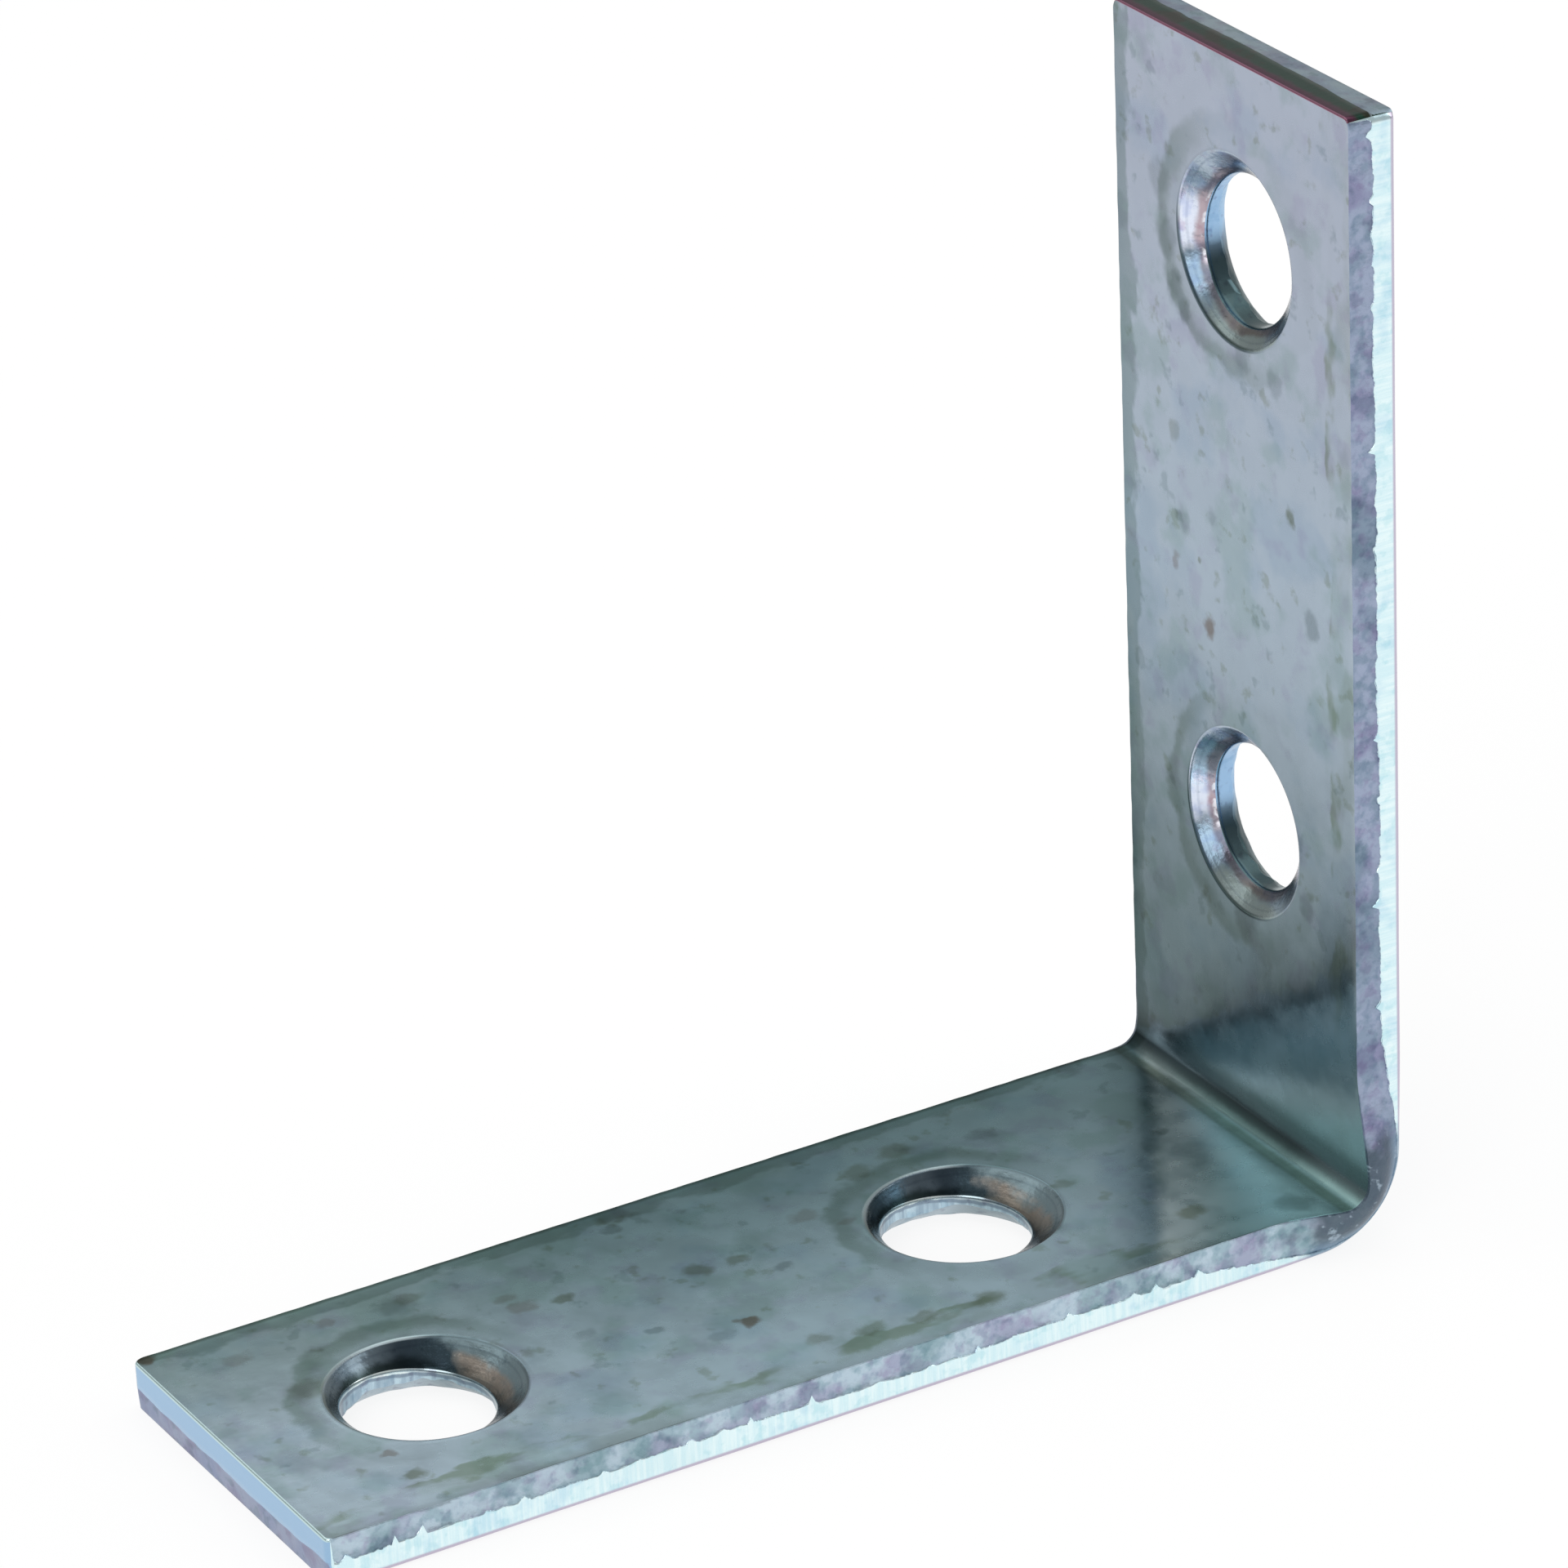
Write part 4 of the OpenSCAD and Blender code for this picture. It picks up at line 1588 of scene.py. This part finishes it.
@dataclass(frozen=True)
class PressedZincCone:
    """Countersink, formed by a turning tool and then zinc plated.

    The tool left faint rings round the cone. The cones of the base leg are in painted shade,
    darkest at the foot, with brown plating salts on one side. Those of the upright leg carry a
    painted reflection, bright on one side with painted glints and painted shade above and below,
    and are brown at the foot.
    """

    strip: StripSizes
    holes: HoleSizes

    CLOUDS = (
        Mottle("d5dcf2", 0.7, 0.48, 0.62, 0.6, 5.0),
        Mottle("e6d3dc", 0.5, 0.54, 0.66, 0.6, 9.0),
    )
    SPECKS = Mottle("c2cbd0", 0.3, 0.6, 0.68, 0.5, 15.0)

    def make(self) -> bpy.types.Material:
        """Build the material."""
        f = Finish("bright zinc plated countersink", self.strip)
        t = f.tree
        noise = add_node(t, "TexNoise", SEEDED, f.drawn(2.0, 1.1, 4.0))
        wander = add_node(t, "Math", TIMES_PLUS, {0: noise, 1: 0.5, 2: -0.25})
        level = add_node(t, "Math", PLUS, {0: f.below, 1: wander})
        turned = add_node(t, "Math", TIMES_PLUS, {0: noise, 1: 1.8, 2: -0.9})
        along = add_node(t, "Math", PLUS, {0: f.along, 1: turned})
        legs = {0: f.upright, 6: self._base(f, along, level), 7: self._upright(f, along, level)}
        colour = add_node(t, "Mix", BLEND, legs, 2)
        rings = {"W": f.radius, "Scale": 8.0, "Detail": 2.0}
        ring = add_node(t, "TexNoise", {"noise_dimensions": "1D"}, rings)
        colour = f.wash(colour, "a3adbb", TINTED, Ramp(ring, 0.52, 0.68, 0.22))
        colour = f.rim(colour, self.holes.mouth_r)
        wear = add_node(t, "TexNoise", SEEDED, f.drawn(25.0, 1.2, 4.0))
        rough = add_node(t, "MapRange", SMOOTH, {0: wear, 1: 0.3, 2: 0.7, 3: 0.2, 4: 0.32})
        fine = add_node(t, "TexNoise", SEEDED, f.drawn(19.0, 5.0, 3.0))
        height = add_node(t, "Math", TIMES_PLUS, {0: ring, 1: 0.35, 2: fine})
        return f.close(colour, rough, height, 0.012)

    def _upright(self, f: Finish, along: Socket, level: Socket) -> Socket:
        """Upright cone: bright painted reflection on one side, painted shade above and below, brown foot."""
        t = f.tree
        # painted reflection, bright on one side
        colour = f.wash("e6edfc", "a9b8c6", BLEND, Ramp(along, 0.5, 2.2, 0.95))
        colour = f.lay(colour, *self.CLOUDS, self.SPECKS)
        # painted shade on the lower side
        low = (Ramp(along, -0.6, -1.4, 0.95), Ramp(along, -3.6, -2.9, 1.0, 0.7))
        colour = f.wash(colour, "8599a0", TINTED, *low)
        colour = f.wash(colour, "94a29e", BLEND, Ramp(along, -2.2, -2.9, 0.85))
        foot = add_node(t, "Math", TIMES_PLUS, {0: f.along, 1: 0.02, 2: level})
        colour = f.wash(colour, "c8aaa6", TINTED, Ramp(foot, -0.36, -0.18, 0.85))
        # painted shade on the upper side
        edge = add_node(t, "Math", TIMES_PLUS, {0: f.across, 1: -0.25, 2: level})
        colour = f.wash(colour, "9c9a98", TINTED, Ramp(along, 0.9, 2.3, 0.8), Ramp(edge, -0.66, -0.3))
        # painted glints near the foot
        sparks = add_node(t, "TexNoise", SEEDED, f.drawn(73.0, 3.2, 2.0))
        from_middle = add_node(t, "Math", {"operation": "ABSOLUTE"}, {0: f.along})
        glint = (Ramp(sparks, 0.5, 0.58, 0.85), Ramp(f.below, -0.16, -0.06), Ramp(from_middle, 1.5, 0.8))
        return f.wash(colour, "f6f8ff", BLEND, *glint)

    def _base(self, f: Finish, along: Socket, level: Socket) -> Socket:
        """Base cone in painted shade, paler with brown salts towards the bend, and darkest at its foot."""
        # painted shade, the whole cone dark
        colour = f.wash("82929c", "82969c", BLEND, Ramp(along, 0.9, 1.7))
        colour = f.wash(colour, "7c8a84", BLEND, Ramp(along, -2.2, -3.3, 0.8))
        colour = f.wash(colour, "7c848c", TINTED, Ramp(along, -1.4, 1.2), Ramp(along, 2.6, 1.7))
        salts = (Ramp(along, 1.7, 2.4, 0.85), Ramp(along, 3.0, 2.5), Ramp(level, -0.62, -0.42))
        colour = f.lay(f.wash(colour, "a09488", BLEND, *salts), self.SPECKS)
        # painted shade deepest at the foot, weaker towards both sides
        sides = (Ramp(along, 2.4, 0.6, 1.0, 0.45), Ramp(along, -2.9, -1.9, 1.0, 0.35))
        return f.wash(colour, "68766c", TINTED, Ramp(level, -0.36, -0.1, 0.9), *sides)


@dataclass(frozen=True)
class PiercedZincBore:
    """Pierced bore, punched from the inner face and then zinc plated.

    The punch burnished the upper part of the wall with fine striations, and the slug tore away below
    it. The bores of the base leg show that in bands, with a painted highlight on the lip and painted
    shade on both sides. Those of the upright leg are blue and smooth, with painted shade below.
    """

    strip: StripSizes

    METAL = PunchedMetal((0.22, 0.38), (0.1, 0.8), 33.0, 6.0, 0.14, 0.02)
    MARKS = (
        Mottle("d9e6ee", 0.6, 0.5, 0.62, 0.6, 3.0),
        Mottle("cfc6d2", 0.35, 0.56, 0.66, 0.6, 13.0),
    )

    def make(self) -> bpy.types.Material:
        """Build the material."""
        f = Finish("bright zinc plated pierced bore", self.strip)
        t = f.tree
        torn = add_node(t, "MapRange", SMOOTH, {0: f.past, 1: -0.02, 2: 0.02})
        lines = add_node(t, "VectorMath", TIMES, {0: f.flat, 1: (4.5, 4.5, 0.5)})
        striae = add_node(t, "TexNoise", SEEDED, {"Vector": lines, "W": 3.0, "Scale": 1.0, "Detail": 3.0})
        legs = {0: f.upright, 6: self._base(f, striae, torn), 7: self._upright(f, torn)}
        colour = f.lay(add_node(t, "Mix", BLEND, legs, 2), *self.MARKS)
        return f.close_punched(colour, torn, striae, self.METAL)

    def _upright(self, f: Finish, torn: Socket) -> Socket:
        """Blue bore of the upright leg, with painted shade on its lower side and towards its top."""
        # painted shade on the lower side
        low = Ramp(f.along, -0.1, -1.4)
        smooth = f.wash("9cbedf", "43565c", BLEND, low)
        broken = f.wash("a0c6e6", "2f464b", BLEND, low)
        colour = add_node(f.tree, "Mix", BLEND, {0: torn, 6: smooth, 7: broken}, 2)
        # painted shade towards the top, and a lighter painted reflection at the bottom
        colour = f.wash(colour, "5f7d8a", BLEND, Ramp(f.along, 1.5, 2.4, 0.7))
        return f.wash(colour, "6f8a8c", BLEND, Ramp(f.along, -1.7, -2.5, 0.45))

    def _base(self, f: Finish, striae: Socket, torn: Socket) -> Socket:
        """Banded bore of the base leg: painted lip highlight, grey band, pale striations, dull tear, painted
        shade.
        """
        t = f.tree
        noise = add_node(t, "TexNoise", SEEDED, f.drawn(31.0, 1.6, 4.0))
        wander = add_node(t, "Math", TIMES_PLUS, {0: noise, 1: 0.24, 2: -0.12})
        level = add_node(t, "Math", PLUS, {0: wander, 1: f.below})
        bands = f.wash("9cb2c2", "c2dae6", BLEND, Ramp(striae, 0.35, 0.65))
        bands = f.wash(bands, "7f90a0", BLEND, Ramp(level, 0.27, 0.2, 0.85))
        # painted highlight on the lip
        bands = f.wash(bands, "f2ffff", BLEND, Ramp(level, 0.13, 0.08), Ramp(f.along, 1.1, 0.4, 1.0, 0.4))
        bands = add_node(t, "Mix", BLEND, {0: torn, 6: bands, 7: linear("b0bfc8")}, 2)
        # painted shade on both sides
        bands = f.wash(bands, "8fa3ae", TINTED, Ramp(f.along, -1.0, -2.2, 0.85))
        return f.wash(bands, "c4cac8", TINTED, Ramp(f.along, 0.8, 1.8, 0.8))


@dataclass(frozen=True)
class Lamp:
    """A soft box of the studio, in metres and watts."""

    name: str
    place: tuple[float, float, float]
    size: float
    power: float


@dataclass(frozen=True)
class Studio:
    """Pale floor, soft boxes and the camera, in metres, watts and radians."""

    lamps: tuple[Lamp, ...] = (
        Lamp("overhead", (-0.05, 0.2, 0.6), 0.85, 1.6),
        Lamp("front_left", (-0.5, -0.35, 0.35), 0.4, 1.1),
        Lamp("right", (0.5, -0.1, 0.3), 0.4, 0.7),
    )
    world_level: float = 0.45
    camera_place: tuple[float, float, float] = (-0.11177868, -0.19958709, 0.1305598)
    camera_turn: tuple[float, float, float] = (1.11760334, 0.03956336, -0.53399949)
    lens_mm: float = 185.2143
    sensor_mm: float = 36.0
    aim: tuple[float, float, float] = (0.0, 0.0, 0.015)
    floor_half: float = 2.0
    floor_height: float = -0.00002
    floor_glow: float = 0.855

    def build(self) -> None:
        """Set the stage."""
        scene = bpy.context.scene
        scene.view_settings.view_transform = "Standard"
        self._floor()
        self._world()
        for lamp in self.lamps:
            self._lamp(lamp)
        data = bpy.data.cameras.new("photo_camera")
        data.lens = self.lens_mm
        data.sensor_width = self.sensor_mm
        data.clip_start = 0.01
        data.clip_end = 10.0
        camera = bpy.data.objects.new("photo_camera", data)
        camera.location = self.camera_place
        camera.rotation_euler = self.camera_turn
        scene.collection.objects.link(camera)
        scene.camera = camera

    def _floor(self) -> None:
        """Lay a pale matt floor whose lit parts show white, and which keeps the shadow."""
        mesh = bpy.data.meshes.new("floor")
        signs = ((-1, -1), (1, -1), (1, 1), (-1, 1))
        corners = [(x * self.floor_half, y * self.floor_half, self.floor_height) for x, y in signs]
        mesh.from_pydata(corners, [], [(0, 1, 2, 3)])
        floor = bpy.data.objects.new("floor", mesh)
        bpy.context.scene.collection.objects.link(floor)
        # Board rolled with matt white paint, lifted to white where the camera or the metal sees it
        material = bpy.data.materials.new("matt white painted board")
        material.use_nodes = True
        tree = material.node_tree
        tree.nodes.clear()
        board = add_node(tree, "BsdfDiffuse", None, {"Color": linear("e6e8ea")})
        pale = add_node(tree, "BsdfDiffuse", None, {"Color": (0.17, 0.17, 0.17, 1.0)})
        glow = add_node(tree, "Emission", None, {"Color": linear("ffffff"), "Strength": self.floor_glow})
        both = add_node(tree, "AddShader", None, {0: pale, 1: glow})
        ray = add_node(tree, "LightPath").node.outputs
        seen = add_node(tree, "Math", GREATER, {0: ray["Is Camera Ray"], 1: ray["Is Glossy Ray"]})
        seen = add_node(tree, "Math", GREATER, {0: seen, 1: ray["Is Transmission Ray"]})
        mixed = add_node(tree, "MixShader", None, {0: seen, 1: board, 2: both})
        add_node(tree, "OutputMaterial", None, {"Surface": mixed})
        mesh.materials.append(material)

    def _world(self) -> None:
        """Fill the room with plain grey light."""
        world = bpy.data.worlds.new("studio")
        world.use_nodes = True
        tree = world.node_tree
        tree.nodes.clear()
        back = add_node(tree, "Background", None, {"Color": linear("ffffff"), "Strength": self.world_level})
        plain = add_node(tree, "Background", None, {"Color": linear("ffffff"), "Strength": 1.0})
        ray = add_node(tree, "LightPath").node.outputs
        both = add_node(tree, "MixShader", None, {0: ray["Is Camera Ray"], 1: back, 2: plain})
        add_node(tree, "OutputWorld", None, {"Surface": both})
        bpy.context.scene.world = world

    def _lamp(self, lamp: Lamp) -> None:
        """Hang one soft box, turned to the bracket."""
        data = bpy.data.lights.new(lamp.name, "AREA")
        data.shape = "SQUARE"
        data.size = lamp.size
        data.energy = lamp.power
        light = bpy.data.objects.new(lamp.name, data)
        light.location = lamp.place
        aim = np.array(self.aim) - np.array(lamp.place)
        x, y, z = aim / np.linalg.norm(aim)
        light.rotation_euler = (math.acos(-z), 0.0, math.atan2(y, x) - math.pi / 2)
        bpy.context.scene.collection.objects.link(light)


@dataclass
class AngleBracket:
    """The bracket: one folded strip with its finishes."""

    strip: StripSizes = field(default_factory=StripSizes)
    holes: HoleSizes = field(default_factory=HoleSizes)

    def build(self) -> bpy.types.Object:
        """Build and dress the bracket in place of its plain solid.

        Returns:
            The dressed piece.
        """
        piece = BracketSkin(self.strip, self.holes).build()
        finishes = {
            Region.FACE: RolledZincFace(self.strip, self.holes),
            Region.SHEARED_EDGE: ShearedZincEdge(self.strip),
            Region.CROPPED_END: CroppedZincEnd(self.strip),
            Region.COUNTERSINK: PressedZincCone(self.strip, self.holes),
            Region.BORE: PiercedZincBore(self.strip),
        }
        for region in Region:
            piece.data.materials.append(finishes[region].make())
        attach(piece, "root")
        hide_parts(NODE)
        return piece


def main() -> None:
    """Build the bracket and its studio."""
    logging.basicConfig(level=logging.INFO, format="%(name)s: %(message)s")
    piece = AngleBracket().build()
    LOG.info("built %s on %s", piece.name, "root")
    Studio().build()
    LOG.info("studio set")


if __name__ == "__main__":
    main()
